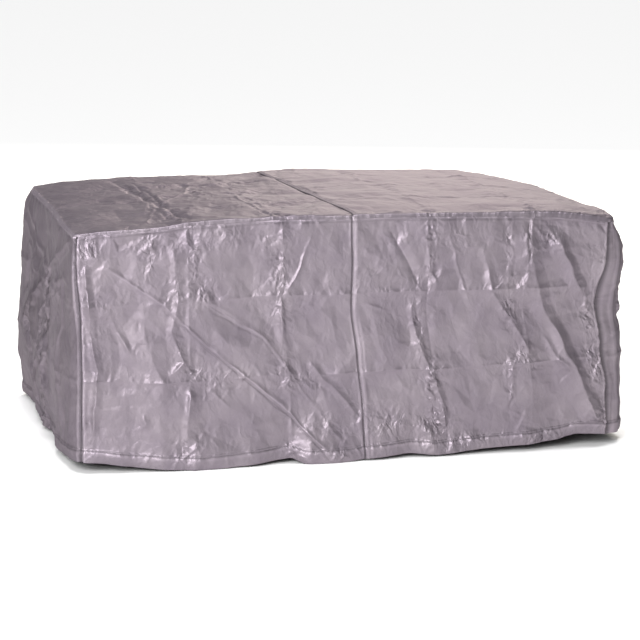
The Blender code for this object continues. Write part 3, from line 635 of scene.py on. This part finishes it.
def placed(x, y, z, up, moved):
    """Points of the cloth at rest, with the bow of the edges and the lean of the middle seam."""
    out_x, out_y = edges_out(x, y)
    round_x, round_y = round_corners(x, y)
    out_x += round_x + seam_lean(x, y, up) - BOX_MIDDLE[0]
    out_y += round_y - BOX_MIDDLE[1]
    return np.stack([out_x, out_y, z], axis=1) + moved


def hang_top(x, y, fine):
    """Where a point of the top lies, with its fine creases."""
    roll_x = np.clip(1 - (HALF[0] - np.abs(x)) / EDGE_ROLL, 0, 1)
    roll_y = np.clip(1 - (HALF[1] - np.abs(y)) / EDGE_ROLL, 0, 1)
    level = np.sqrt(1 - roll_x**2) * np.sqrt(1 - roll_y**2)
    from_edge = np.minimum(HALF[0] - np.abs(x), HALF[1] - np.abs(y))
    calm = ease((from_edge - EDGE_ROLL) / TOP_CALM)
    creases = crease_height(x, TOP_CREASES) + crease_height(y, CROSS_CREASES)
    folds = uneven_folds(creases, TOP_FOLDS, x, y, TOP_SEEDS)
    z = CORNER_TOP + top_rise(x, y) - edge_drop(x) * (1 - level) + calm * folds
    facing = outward(x, y) * np.sqrt(1 - level**2)[:, None]
    facing[:, 2] = level
    lift = lap_lift(x) + welt(from_edge) + fine
    return placed(x, y, z, np.ones_like(x), facing * lift[:, None])


def corner_out(side, end, axis):
    """A corner's way out along an axis at each level, signed along that axis."""
    name = SIDES[side].corners[end]
    sign = {"left": -1, "right": 1, "front": -1, "back": 1}[name.split("_")[1 - axis]]
    return [sign * out[axis] * MM for out in CORNER_OUT[name]]


def hang_skirt(name, along, height, fine):
    """Where a point of a skirt hangs: along its side and up from the hem, with its fine creases."""
    side = SIDES[name]
    across = 1 - side.axis
    half = HALF[side.axis]
    ends = [corner_out(name, end, side.axis) for end in (0, 1)]
    faces = [np.array(corner_out(name, end, across)) * side.facing / MM for end in (0, 1)]
    places = [-half] + [row[0] for row in SIDE_OUT[name]] + [half]
    rows = [faces[0]] + [row[1] for row in SIDE_OUT[name]] + [faces[1]]
    levels = range(len(LEVELS))
    forward = [smooth_between(along, places, [row[k] for row in rows]) * MM for k in levels]
    share = along / (2 * half) + 0.5
    sideways = [ends[0][k] * (1 - share) + ends[1][k] * share for k in levels]

    creases = crease_height(along, side.creases) + crease_height(height, LEVEL_CREASES)
    folds = uneven_folds(creases, side.folds, along, height, SKIRT_SEEDS)
    calm = ease((half - np.abs(along)) / CORNER_CALM) * ease((SKIRT_CLOTH - height) / TOP_CALM)

    base = [along, np.full_like(along, side.facing * HALF[across])]
    x, y = base if side.axis == 0 else base[::-1]
    up = height / SKIRT_CLOTH
    top = CORNER_TOP + top_rise(x, y) - edge_drop(x) - SEAM_GAP
    hem = between(along, HEM_HEIGHT[name])
    z = hem + up * (top - hem)
    lift = welt(SKIRT_CLOTH - height) + hem_lift(height) + fine
    if side.axis == 0:
        lift = lift + lap_lift(x)
    moved = outward(x, y) * lift[:, None]
    moved[:, side.axis] += across_levels(height, sideways)
    moved[:, across] += side.facing * (across_levels(height, forward) + calm * folds)
    return placed(x, y, z, up, moved)


# ---- Crushed cloth ----


def lines_within(columns, rows, low, high):
    """The rows and columns of a panel that pass through a box, as two slices."""
    left, right = np.searchsorted(columns, (low[0], high[0]))
    bottom, top = np.searchsorted(rows, (low[1], high[1]))
    return slice(bottom, top), slice(left, right)


def crush(columns, rows, layer):
    """Heights of crushed cloth on a panel's lines: flat facets between corners scattered at random."""
    chance = np.random.default_rng(layer.seed + round(1000 * abs(columns[0])))
    lean = math.radians(layer.lean)
    way = np.array([math.sin(lean), math.cos(lean)])
    across = np.array([way[1], -way[0]])
    middle = np.array([(columns[0] + columns[-1]) / 2, (rows[0] + rows[-1]) / 2])
    reach = math.hypot(columns[-1] - columns[0], rows[-1] - rows[0]) / 2 + 2 * layer.spacing
    steps = np.arange(-reach, reach, layer.spacing)
    long_steps = np.arange(-reach, reach, layer.spacing * layer.stretch)
    a, b = np.meshgrid(steps, long_steps)
    a = a + chance.uniform(-SCATTER, SCATTER, a.shape) * layer.spacing
    b = b + chance.uniform(-SCATTER, SCATTER, b.shape) * layer.spacing * layer.stretch
    corners = middle + a.reshape(-1, 1) * across + b.reshape(-1, 1) * way
    heights = chance.uniform(-1, 1, len(corners))
    facets = delaunay_2d_cdt([Vector(corner) for corner in corners], [], [], 0, 1e-7)[2]
    made = np.zeros((len(rows), len(columns)))
    for facet in facets:
        points = corners[list(facet)]
        box = lines_within(columns, rows, points.min(0), points.max(0))
        if made[box].size == 0:
            continue
        du = columns[box[1]][None, :] - points[2, 0]
        dv = rows[box[0]][:, None] - points[2, 1]
        (ax, ay), (bx, by) = points[0] - points[2], points[1] - points[2]
        size = ax * by - bx * ay
        first = (du * by - bx * dv) / size
        second = (ax * dv - du * ay) / size
        inside = (first >= 0) & (second >= 0) & (first + second <= 1)
        flat = heights[facet[2]] + first * (heights[facet[0]] - heights[facet[2]])
        flat = flat + second * (heights[facet[1]] - heights[facet[2]])
        made[box] = np.where(inside, flat, made[box])
    return made * layer.millimetres * MM


def near(places, lines, reach):
    """1 on the nearest of these lines, falling to 0 away from them."""
    away = np.min([np.abs(places - line) for line in lines], axis=0)
    return np.exp(-away / reach)


def half_along(side):
    """Half the way between a side's corner seams."""
    return HALF[1] if side in ENDS else HALF[0]


def where_crushed(where, side, u, v):
    """How much of a layer of crushed cloth lies at each point of a panel."""
    reach = CRUSH_REACH.get(where)
    creases = [row[0] for row in (CROSS_CREASES if side in ENDS else UPRIGHT_CREASES)]
    if side == "top":
        levels = [row[0] for row in CROSS_CREASES]
        from_rim = np.minimum(HALF[0] - np.abs(u), HALF[1] - np.abs(v))
        from_hem = np.full_like(u, 1.0)
    else:
        levels = [row[0] for row in LEVEL_CREASES]
        from_rim = SKIRT_CLOTH - v
        from_hem = v
    if where == "packing":
        return 0.15 + near(u, creases, reach) * 0.6 + near(v, levels, reach) * 0.5
    if where == "rim":
        return np.exp(-from_rim / reach)
    if where == "hem":
        return np.exp(-from_hem / reach)
    if where == "corners":
        return np.exp(-(half_along(side) - np.abs(u)) / reach) * (0.2 if side in ENDS else 1)
    if where == "clumps":
        share = np.zeros_like(u)
        for at_u, at_v, half_width, half_height, strength in CLUMPS[side]:
            aside = (u - at_u / 1000) / (half_width / 1000)
            above = (v - at_v / 1000) / (half_height / 1000)
            share = np.maximum(share, strength * np.exp(-(aside**2 + above**2)))
        return share
    return np.ones_like(u)


def crushed_share(shares, side, u, v):
    return sum(share * where_crushed(where, side, u, v) for where, share in shares.items())


def short_creases(side, columns, rows):
    """Small sharp creases strewn over a side, thick where the cloth is crushed and thin elsewhere."""
    chance = np.random.default_rng(SHORT[side].seed)
    half_u = half_along(side)
    low, high = (-HALF[1], HALF[1]) if side == "top" else (0, SKIRT_CLOTH)
    count = round(2 * half_u * (high - low) * SHORT_PER_SQUARE_METRE)
    at_u = chance.uniform(-half_u, half_u, count)
    at_v = chance.uniform(low, high, count)
    crushed = crushed_share(SHORT_SHARES, side, at_u, at_v)
    kept = chance.uniform(0, 1, count) < crushed
    lean = chance.normal(math.radians(SHORT[side].lean), math.radians(SHORT_SPREAD), count)
    length = SHORT[side].length * np.exp(chance.uniform(0, 1.5, count))
    reach = SHORT_REACH + 0.07 * length + chance.uniform(0, 0.002, count)
    rise = chance.choice([-1, 1, 1], count) * chance.uniform(*SLOPE, count) * reach
    rise = rise * np.clip(0.35 + crushed, 0, 1.1)
    bend = chance.uniform(-5, 5, count) * SHORT["front"].length / SHORT[side].length
    made = np.zeros((len(rows), len(columns)))
    for k in np.flatnonzero(kept):
        span = length[k] / 2 + reach[k]
        middle = np.array([at_u[k], at_v[k]])
        box = lines_within(columns, rows, middle - span, middle + span)
        du = columns[box[1]][None, :] - at_u[k]
        dv = rows[box[0]][:, None] - at_v[k]
        along = du * math.sin(lean[k]) + dv * math.cos(lean[k])
        away = du * math.cos(lean[k]) - dv * math.sin(lean[k]) + bend[k] * along**2
        crest = np.clip(1 - np.abs(away) / reach[k], 0, 1)
        crest = crest * np.clip(1 - (2 * along / length[k]) ** 2, 0, 1)
        made[box] += rise[k] * crest
    return made


# ---- Panels ----


def lines_through(marks, step):
    """Places from the first mark to the last through every mark, about a step apart, and half a step
    between marks that lie close together, as they do at a seam."""
    places = [marks[0]]
    for start, end in zip(marks, marks[1:]):
        parts = max(1, round((end - start) / (step if end - start > 0.03 else step / 2)))
        places += [start + (end - start) * k / parts for k in range(1, parts + 1)]
    return np.array(places)


def mesh_of(shape, name):
    mesh = bpy.data.meshes.new(name)
    shape.to_mesh(mesh)
    shape.free()
    return mesh


def cut_sheet(columns, rows):
    """A flat sheet ruled at these columns and rows, as a mesh whose points run row by row."""
    sheet = bmesh.new()
    bmesh.ops.create_grid(sheet, x_segments=len(columns) - 1, y_segments=len(rows) - 1, size=0.5)
    return mesh_of(sheet, "sheet")


def points_of(mesh):
    flat = np.empty(len(mesh.vertices) * 3, np.float32)
    mesh.vertices.foreach_get("co", flat)
    return flat.reshape(-1, 3)


def fine_creases(side, columns, rows):
    """The height of all that is finer than the frame's folds, on a panel's lines."""
    u, v = np.meshgrid(columns, rows)
    layers = {"top": TOP_CRUSHES, "left": END_CRUSHES, "right": END_CRUSHES}.get(side, SKIRT_CRUSHES)
    made = short_creases(side, columns, rows)
    for layer in layers:
        made = made + crush(columns, rows, layer) * where_crushed(layer.where, side, u, v)
    made = made + folds_at(CREASES[side], u, v, 30)
    upright = PRESSED["cross" if side in ENDS else "upright"]
    level = PRESSED["cross" if side == "top" else "level"]
    for place, pressed, seed in ((u, upright, 40), (v, level, 41)):
        uneven = np.clip(0.6 + 1.2 * wander(u, v, 0.07, seed), 0, 1.6)
        made = made + crease_height(place, pressed) * uneven
    return made


def seam_calm(side, u, v):
    """Fine creases die out at the seams, which hold the cloth flat."""
    if side == "top":
        calm = ease((HALF[0] - np.abs(u)) / TOP_SEAM_CALM) * ease((HALF[1] - np.abs(v)) / TOP_SEAM_CALM)
    else:
        calm = ease((half_along(side) - np.abs(u)) / SKIRT_SEAM_CALM)
        calm = calm * ease((SKIRT_CLOTH - v) / SKIRT_SEAM_CALM)
    if side in HALVED:
        past = u - MIDDLE_SEAM
        lapped = np.where(past < 0, -past / LAP_CALM, (past - LAP_WIDTH) / LAP_CALM)
        calm = calm * (0.25 + 0.75 * ease(lapped))
    return calm


def bump_at(place, at, reach):
    return np.exp(-(((place - at) / reach) ** 2))


def add_marks(made, place, marks):
    """Adds marks that run along a seam, each as (height, distance, reach)."""
    for height, at, reach in marks:
        made = made + height * bump_at(place, at, reach)
    return made


# The relief across a seam: a groove where the stitches draw the cloth in, and a swelling beside it.
# Distances are from the seam's edge, or from the foot of the skirt at the hem.
RELIEF = {
    "rim": [(-0.0022, 0, 0.0035), (0.0006, 0.007, 0.004)],
    "hem": [(-0.0012, HEM_STITCHES, 0.0022), (0.0005, HEM_STITCHES - 0.007, 0.005)],
    "corner": [(0.9, 0.014, 0.007), (-1.6, 0, 0.006)],  # shares of CORNER_GROOVES
    "middle": [(-0.0026, -0.001, 0.0026)],
    "middle of top": [(-0.0014, -0.001, 0.0026)],
}
LAP_HANG = 0.035  # past the lap's far edge the cloth falls back over this much


def sewn(side, u, v):
    """The relief of the seams of a panel."""
    made = np.zeros_like(u)
    if side == "top":
        from_seams = [HALF[0] - np.abs(u), HALF[1] - np.abs(v)]
    else:
        from_seams = [SKIRT_CLOTH - v]
        deep = np.where(u < 0, *CORNER_GROOVES[side]) * MM
        made = made + deep * add_marks(0, half_along(side) - np.abs(u), RELIEF["corner"])
        made = add_marks(made, v, RELIEF["hem"])
    for away in from_seams:
        made = add_marks(made, away, RELIEF["rim"])
    if side in HALVED:
        past = u - MIDDLE_SEAM
        made = add_marks(made, past, RELIEF["middle of top" if side == "top" else "middle"])
        made = made + (past > 0) * (past < LAP_WIDTH) * (0.0020 * past / LAP_WIDTH - 0.0012)
        beyond = (LAP_LIFT + 0.0008) * np.exp(-(past - LAP_WIDTH) / LAP_HANG) - lap_lift(u)
        made = made + (past >= LAP_WIDTH) * beyond
    return made


# Light and shade painted into the coating across a seam: a painted highlight above 0, on its turned
# # edges, and painted shade below 0, in the stitched line. Distances are as in RELIEF.
PAINTED_SHADING_AT_SEAMS = {
    "rim": [(0.1, 0.002, 0.004), (-0.4, 0.010, 0.003)],
    # a strong painted highlight along the left end's rim and the top's left edge, and a painted shadow
    # just inside the top's front edge
    "rim of left end": [(1.2, 0.002, 0.004), (-0.4, 0.010, 0.003)],
    "hem": [(-0.5, HEM_STITCHES, 0.0025), (0.35, HEM_STITCHES - 0.007, 0.004)],
    "corner": [(-1, 0.002, 0.005), (0.7, 0.015, 0.005)],
    "middle": [(-0.8, -0.001, 0.003), (0.6, 0.008, 0.004)],
    "middle of top": [(-0.8, -0.001, 0.003)],
    "left edge of top": [(1.2, 0.002, 0.0045)],
    "front edge of top": [(-0.6, 0.010, 0.004)],
}

# Painted highlights along creases, with shares in the place of heights, and painted shade in pleats and
# hollows
PAINTED_SHADING_LINES = {
    "left": folds_of([
        (0.3, 0.3, 250, 80, -260, 600, -220, 350, -260, 40),
        (-0.5, -0.6, 50, 80, 20, 520, 200, 390, 110, 260),
        (-0.5, -0.6, 50, 80, 190, 440, 390, 300, 280, 130),
        (0.5, 0.4, 12, 12, 480, 700, 200, 585, -40, 530),
        (0.5, 0.5, 12, 12, -540, 700, -300, 600, -80, 555),
        (0.6, 0.5, 14, 10, -90, 500, 20, 450, -60, 380, 30, 310),
        (-0.9, -0.9, 16, 12, -130, 540, -80, 440, -110, 360, -60, 240),
        (-0.6, -0.8, 20, 30, 100, 190, 200, 110, 170, 30),
    ]),
    "front": folds_of([
        (0.4, 0.8, 4, 4, *DIAGONAL),
        (-0.2, -0.8, 4, 5, -600, 518, -414, 334, -324, 247, -104, 22),
        (0.4, 0.2, 4, 4, *SECOND_DIAGONAL),
        (-0.3, -0.3, 4, 5, -468, 511, -279, 382, -154, 182),
        (0.9, 0.9, 30, 22, -825, 715, -800, 670),
        (-1, -0.8, 8, 8, *GROOVE),
        (0.5, 0.5, 5, 4, *DRAWN_STEP),
    ]),
    "right": folds_of([
        (-0.8, -0.9, 6, 6, -588, 730, -584, 400, -588, 20),
        (0.5, 0.5, 5, 5, -574, 730, -572, 400, -576, 20),
        (-0.9, -0.7, 6, 7, -560, 730, -558, 380, -562, 20),
        (-0.8, -0.8, 7, 10, -530, 730, -526, 400, -530, 20),
        (-0.9, -0.9, 10, 20, -490, 730, -490, 20),
    ]),
}


def painted_shading_of(side, u, v):
    """Painted light (above 0) and painted shade (below 0) in the coating's colour at each point of a
    panel.
    """
    made = np.zeros_like(u)
    if side == "top":
        made = add_marks(made, HALF[0] + u, PAINTED_SHADING_AT_SEAMS["left edge of top"])
        made = add_marks(made, HALF[1] + v, PAINTED_SHADING_AT_SEAMS["front edge of top"])
    else:
        made = add_marks(made, SKIRT_CLOTH - v, PAINTED_SHADING_AT_SEAMS["rim of left end" if side == "left" else "rim"])
        made = add_marks(made, v, PAINTED_SHADING_AT_SEAMS["hem"])
        made = add_marks(made, half_along(side) - np.abs(u), PAINTED_SHADING_AT_SEAMS["corner"])
        made = made + sum(fold_height(u, v, line) for line in PAINTED_SHADING_LINES.get(side, [])) / MM
    if side in HALVED:
        made = add_marks(made, u - MIDDLE_SEAM, PAINTED_SHADING_AT_SEAMS["middle of top" if side == "top" else "middle"])
    return made


def hang(side, u, v, fine):
    return hang_top(u, v, fine) if side == "top" else hang_skirt(side, u, v, fine)


def thicken(panel):
    """Gives the cloth its thickness. Its inner face keeps only as many facets as its folds need."""
    panel.vertex_groups.new(name="inside")
    thickness = panel.modifiers.new("thickness", "SOLIDIFY")
    thickness.thickness = SHEET
    thickness.offset = -1
    thickness.shell_vertex_group = "inside"
    fewer = panel.modifiers.new("fewer facets inside", "DECIMATE")
    fewer.ratio = KEPT_FACETS
    fewer.vertex_group = "inside"
    made = bpy.data.meshes.new_from_object(panel.evaluated_get(bpy.context.evaluated_depsgraph_get()))
    panel.modifiers.clear()
    panel.vertex_groups.clear()
    panel.data = made
    made.set_sharp_from_angle(angle=math.radians(SHARP))


def add_object(name, data):
    thing = bpy.data.objects.new(name, data)
    bpy.context.scene.collection.objects.link(thing)
    return thing


def add_values(mesh, name, values):
    """Stores a value for each point of a mesh, for its material to read."""
    stored = mesh.attributes.new(name, "FLOAT", "POINT")
    stored.data.foreach_set("value", values.astype(np.float32))


def add_panel(name, side, columns, rows):
    """Cuts, hangs and finishes one panel, with its stitches."""
    mesh = cut_sheet(columns, rows)
    square = points_of(mesh)
    column = np.rint((square[:, 0] + 0.5) * (len(columns) - 1)).astype(int)
    row = np.rint((square[:, 1] + 0.5) * (len(rows) - 1)).astype(int)
    u, v = columns[column], rows[row]
    fine = fine_creases(side, columns, rows)[row, column] * seam_calm(side, u, v) + sewn(side, u, v)
    hung = hang(side, u, v, fine)
    mesh.vertices.foreach_set("co", hung.astype(np.float32).ravel())
    corners = np.empty(len(mesh.loops), np.int32)
    mesh.loops.foreach_get("vertex_index", corners)
    flat = mesh.uv_layers.new(name="flat_cloth")
    flat.uv.foreach_set("vector", np.stack([u, v], axis=1)[corners].astype(np.float32).ravel())
    crushed = crushed_share(BUMP_SHARES, side, u, v) * (1 + 0.5 * wander(u, v, 0.09, 60))
    add_values(mesh, "crushed", crushed)
    # painted light and shade: the colour made lighter and darker along seams, creases, pleats and hollows
    add_values(mesh, "painted_shading", painted_shading_of(side, u, v))
    if side in ("back", "left"):
        mesh.flip_normals()
    mesh.shade_smooth()
    mesh.materials.append(satin_polyester(name))
    panel = add_object(name + "_panel", mesh)
    thicken(panel)
    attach(panel, "root")
    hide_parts(name)
    places = np.empty((len(rows), len(columns), 3))
    places[row, column] = hung
    half = name.split("_")[1] if side in HALVED else ""
    stitches = lay_stitches(name, stitch_lines(side, half), columns, rows, places)


def stitch_lines(side, half):
    """The rows of stitches on a panel, each as two ends on the flat cloth."""
    halves = {"left": (-HALF[0], MIDDLE_SEAM), "right": (MIDDLE_SEAM, HALF[0])}
    low, high = halves[half] if half else (-HALF[1], HALF[1])
    foot, head = (-HALF[1], HALF[1]) if side == "top" else (0, SKIRT_CLOTH)
    levels = [head - STITCHES_IN, foot + STITCHES_IN if side == "top" else HEM_STITCHES]
    uprights = []
    if half != "right":
        uprights += [low + STITCHES_IN]
    if half != "left":
        uprights += [high - STITCHES_IN]
    if half == "right":  # the lap is sewn down along both its edges
        uprights += [low + STITCHES_IN / 2, low + LAP_WIDTH - STITCHES_IN / 2]
    lines = [((low, level), (high, level)) for level in levels]
    return lines + [((upright, foot), (upright, head)) for upright in uprights]


def lay_stitches(name, lines, columns, rows, places):
    """Rows of stitches along these lines of a panel: each a short round-ended thread on the cloth. The
    first and last places of a row are left free."""

    def lie(u, v):
        c = min(max(np.searchsorted(columns, u) - 1, 0), len(columns) - 2)
        r = min(max(np.searchsorted(rows, v) - 1, 0), len(rows) - 2)
        p = (u - columns[c]) / (columns[c + 1] - columns[c])
        q = (v - rows[r]) / (rows[r + 1] - rows[r])
        low = places[r, c] * (1 - p) + places[r, c + 1] * p
        high = places[r + 1, c] * (1 - p) + places[r + 1, c + 1] * p
        return Vector(low * (1 - q) + high * q)

    threads = bmesh.new()
    for (u0, v0), (u1, v1) in lines:
        length = math.hypot(u1 - u0, v1 - v0)
        count = int(length / STITCH_PITCH)
        du, dv = (u1 - u0) / length, (v1 - v0) / length
        for k in range(2, count - 1):
            u, v = u0 + du * k * STITCH_PITCH, v0 + dv * k * STITCH_PITCH
            a, b = du * BESIDE_STITCH, dv * BESIDE_STITCH
            along = lie(u + a, v + b) - lie(u - a, v - b)
            beside = lie(u + b, v + a) - lie(u - b, v - a)
            out = along.cross(beside).normalized()
            along.normalize()
            turn = Matrix((along, out.cross(along), out)).transposed().to_4x4()
            size = Matrix.Diagonal((STITCH_LENGTH / 2, THREAD / 2, THREAD / 2, 1))
            lain = Matrix.Translation(lie(u, v)) @ turn @ size
            bmesh.ops.create_icosphere(threads, subdivisions=1, radius=1, matrix=lain)
    mesh = mesh_of(threads, name + "_stitches")
    mesh.shade_smooth()
    mesh.materials.append(sewing_thread())
    stitches = add_object(name + "_stitches", mesh)
    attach(stitches, "root")
    return stitches


# ---- Materials ----


def linear(code):
    """An sRGB hex colour as linear RGBA."""
    parts = [int(code[k:k + 2], 16) / 255 for k in (0, 2, 4)]
    return (*[p / 12.92 if p <= 0.04045 else ((p + 0.055) / 1.055) ** 2.4 for p in parts], 1.0)


def add_node(tree, kind, settings=(), links=()):
    """A node with its settings, by name of a property or socket, and its inputs' links."""
    node = tree.nodes.new("ShaderNode" + kind)
    for key, value in dict(settings).items():
        if key in node.inputs:
            node.inputs[key].default_value = value
        else:
            setattr(node, key, value)
    for key, source in dict(links).items():
        tree.links.new(source, node.inputs[key])
    return node


def new_material(name):
    """A material, with its node tree and its shader."""
    material = bpy.data.materials.new(name)
    material.use_nodes = True
    return material, material.node_tree, material.node_tree.nodes["Principled BSDF"]


def wave_scale(pitch):
    """The scale of a wave texture whose waves are this far apart."""
    return 2 * math.pi / 20 / pitch


def satin_polyester(name):
    """Silver-coated polyester taffeta: a close plain weave under a thin coating with metal pigment. It
    gives the eye a satin, half metallic sheen on every crease, a lilac grey with painted light and
    shade along its seams, creases and hollows, and a weave that only shows close to."""
    material, tree, shader = new_material(name + "_satin_polyester")
    place = add_node(tree, "UVMap", {"uv_map": "flat_cloth"})
    lie = add_node(tree, "TexCoord")

    # dye and coating vary over a hand's breadth
    patches = add_node(tree, "TexNoise", {"Scale": 9.0, "Detail": 4.0, "Roughness": 0.6},
                       {"Vector": lie.outputs["Object"]})
    dye = add_node(tree, "ValToRGB", {}, {"Fac": patches.outputs["Fac"]})
    dye.color_ramp.elements[0].position = 0.30
    dye.color_ramp.elements[0].color = linear("807780")
    dye.color_ramp.elements[1].position = 0.72
    dye.color_ramp.elements[1].color = linear("8F868D")
    # painted light and shade, from half to one and a half times the dye
    painted_shading = add_node(tree, "Attribute", {"attribute_name": "painted_shading"})
    shading_scale = add_node(tree, "MapRange",
                    {"From Min": -1.0, "From Max": 1.0, "To Min": 0.5, "To Max": 1.5},
                    {"Value": painted_shading.outputs["Fac"]})
    shaded_dye = add_node(tree, "VectorMath", {"operation": "SCALE"},
                    {0: dye.outputs["Color"], "Scale": shading_scale.outputs["Result"]})
    tree.links.new(shaded_dye.outputs["Vector"], shader.inputs["Base Color"])

    # the coating's gloss varies too
    gloss = add_node(tree, "MapRange", {"To Min": 0.45, "To Max": 0.53},
                     {"Value": patches.outputs["Fac"]})
    tree.links.new(gloss.outputs["Result"], shader.inputs["Roughness"])
    shader.inputs["IOR"].default_value = 1.5
    shader.inputs["Metallic"].default_value = 0.8
    shader.inputs["Specular Tint"].default_value = linear("808080")

    # plain weave: its yarns are really 0.35 mm apart, too fine to show
    weave = add_node(tree, "Math", {"operation": "MULTIPLY"})
    for k, way in enumerate("XY"):
        yarns = add_node(tree, "TexWave",
                         {"bands_direction": way, "Scale": wave_scale(WEAVE_PITCH)},
                         {"Vector": place.outputs["UV"]})
        tree.links.new(yarns.outputs["Fac"], weave.inputs[k])
    threads = add_node(tree, "Bump", {"Strength": 0.10, "Distance": 0.0002},
                       {"Height": weave.outputs["Value"]})
    # crinkles of cloth that lay folded: flat facets about 45 and 18 mm across, drawn out upright
    crushed = add_node(tree, "Attribute", {"attribute_name": "crushed"})
    drift = add_node(tree, "TexNoise", {"Scale": 16.0, "Detail": 3.0},
                     {"Vector": place.outputs["UV"]})
    drawn = add_node(tree, "VectorMath", {"operation": "MULTIPLY"}, {0: place.outputs["UV"]})
    drawn.inputs[1].default_value = (1.0, 0.62, 1.0)
    warped = add_node(tree, "VectorMath", {"operation": "MULTIPLY_ADD"},
                      {0: drift.outputs["Color"], 2: drawn.outputs["Vector"]})
    warped.inputs[1].default_value = (0.06, 0.06, 0.0)
    folds = threads
    for metric, across, depth in (("MANHATTAN", 0.045, 0.0070), ("CHEBYCHEV", 0.018, 0.0048)):
        facets = add_node(tree, "TexVoronoi",
                          {"voronoi_dimensions": "2D", "distance": metric, "Scale": 1 / across},
                          {"Vector": warped.outputs["Vector"]})
        folds = add_node(tree, "Bump", {"Distance": depth},
                         {"Height": facets.outputs["Distance"], "Strength": crushed.outputs["Fac"],
                          "Normal": folds.outputs["Normal"]})
    tree.links.new(folds.outputs["Normal"], shader.inputs["Normal"])
    return material


def sewing_thread():
    """Spun polyester thread, dyed with the cloth: a little darker than it and without its gloss."""
    if "spun_polyester_thread" in bpy.data.materials:
        return bpy.data.materials["spun_polyester_thread"]
    material, tree, shader = new_material("spun_polyester_thread")
    lie = add_node(tree, "TexCoord")
    dye_lots = add_node(tree, "TexNoise", {"Scale": 60.0, "Detail": 2.0},
                        {"Vector": lie.outputs["Object"]})
    dye = add_node(tree, "ValToRGB", {}, {"Fac": dye_lots.outputs["Fac"]})
    dye.color_ramp.elements[0].color = linear("6A626C")
    dye.color_ramp.elements[1].color = linear("7F7780")
    tree.links.new(dye.outputs["Color"], shader.inputs["Base Color"])
    # the twist of its plies, 0.8 mm from one to the next
    plies = add_node(tree, "TexWave",
                     {"bands_direction": "DIAGONAL", "Scale": wave_scale(0.0008)},
                     {"Vector": lie.outputs["Object"]})
    twist = add_node(tree, "Bump", {"Strength": 0.3, "Distance": 0.0002},
                     {"Height": plies.outputs["Fac"]})
    tree.links.new(twist.outputs["Normal"], shader.inputs["Normal"])
    shader.inputs["Roughness"].default_value = 0.7
    return material


def plain_paint(name, code, roughness):
    material, _, shader = new_material(name)
    shader.inputs["Base Color"].default_value = linear(code)
    shader.inputs["Roughness"].default_value = roughness
    return material


# ---- Stage ----


def add_floor():
    ground = bmesh.new()
    bmesh.ops.create_grid(ground, x_segments=1, y_segments=1, size=FLOOR_REACH)
    mesh = mesh_of(ground, "floor")
    mesh.materials.append(plain_paint("pale_floor", "F7F7F7", 0.8))
    floor = add_object("floor", mesh)


def aim(thing, place, at):
    turn = (Vector(at) - Vector(place)).to_track_quat("-Z", "Y")
    thing.matrix_world = Matrix.Translation(place) @ turn.to_matrix().to_4x4()


def add_softbox(name, place, at, size, power, tint="FFFFFF"):
    lamp = bpy.data.lights.new(name, "AREA")
    lamp.shape = "RECTANGLE"
    lamp.size, lamp.size_y = size
    lamp.energy = power
    lamp.color = linear(tint)[:3]
    aim(add_object(name, lamp), place, at)


def add_ceiling(strength):
    """A wide soft light straight above, which keeps the floor white as far as it goes."""
    lamp = bpy.data.lights.new("ceiling", "SUN")
    lamp.energy = strength
    lamp.angle = math.radians(20)
    add_object("ceiling", lamp)


def add_surround(strength):
    world = bpy.data.worlds.new("studio")
    bpy.context.scene.world = world
    world.use_nodes = True
    back = world.node_tree.nodes["Background"]
    back.inputs["Color"].default_value = linear("FFFFFF")
    back.inputs["Strength"].default_value = strength


def add_camera():
    """The photograph's view: its lens, place and turn were fitted to the cover's corners."""
    lens = bpy.data.cameras.new("camera")
    lens.sensor_width = 36
    lens.lens = LENS
    camera = add_object("camera", lens)
    yaw, pitch, roll = (math.radians(turn) for turn in CAMERA_TURNS)
    level = math.cos(pitch)
    ahead = Vector((-math.sin(yaw) * level, math.cos(yaw) * level, -math.sin(pitch)))
    right = Vector((math.cos(yaw), math.sin(yaw), 0))
    up = right.cross(ahead)
    rolled = right * math.cos(roll) + up * math.sin(roll)
    raised = up * math.cos(roll) - right * math.sin(roll)
    turn = Matrix((rolled, raised, -ahead)).transposed().to_4x4()
    camera.matrix_world = Matrix.Translation(CAMERA_PLACE) @ turn
    bpy.context.scene.camera = camera


def build_panels():
    skirt_marks = [0, HEM_DEPTH - BELOW_STITCHES, HEM_DEPTH - HEM_STEP, HEM_DEPTH,
                   SKIRT_CLOTH - WELT_REACH, SKIRT_CLOTH]
    depths = [-HALF[1], -HALF[1] + EDGE_ROLL, HALF[1] - EDGE_ROLL, HALF[1]]
    lap_end = MIDDLE_SEAM + LAP_WIDTH
    halves = {
        "left": [-HALF[0], -HALF[0] + BESIDE_CORNER, MIDDLE_SEAM - BESIDE_LAP, MIDDLE_SEAM],
        "right": [MIDDLE_SEAM, lap_end, lap_end + LAP_STEP, HALF[0] - BESIDE_CORNER, HALF[0]],
    }
    for half, marks in halves.items():
        for side, upwards in (("front", skirt_marks), ("back", skirt_marks), ("top", depths)):
            step = STEP[side]
            add_panel(f"{side}_{half}", side, lines_through(marks, step), lines_through(upwards, step))
    for side in ENDS:
        step = STEP[side]
        add_panel(f"end_{side}", side, lines_through(depths, step), lines_through(skirt_marks, step))


add_camera()
add_floor()
add_surround(0.35)
add_ceiling(2.1)
add_softbox("key", (-3.76, -6.26, 3.65), (0, 0, 0.4), (3.6, 3.6), 665)
add_softbox("behind_right", (2.22, 6.10, 3.02), (0, 0, 0.4), (3.0, 3.0), 262, "FFF6E8")
build_panels()
bpy.context.scene.view_settings.view_transform = "Standard"
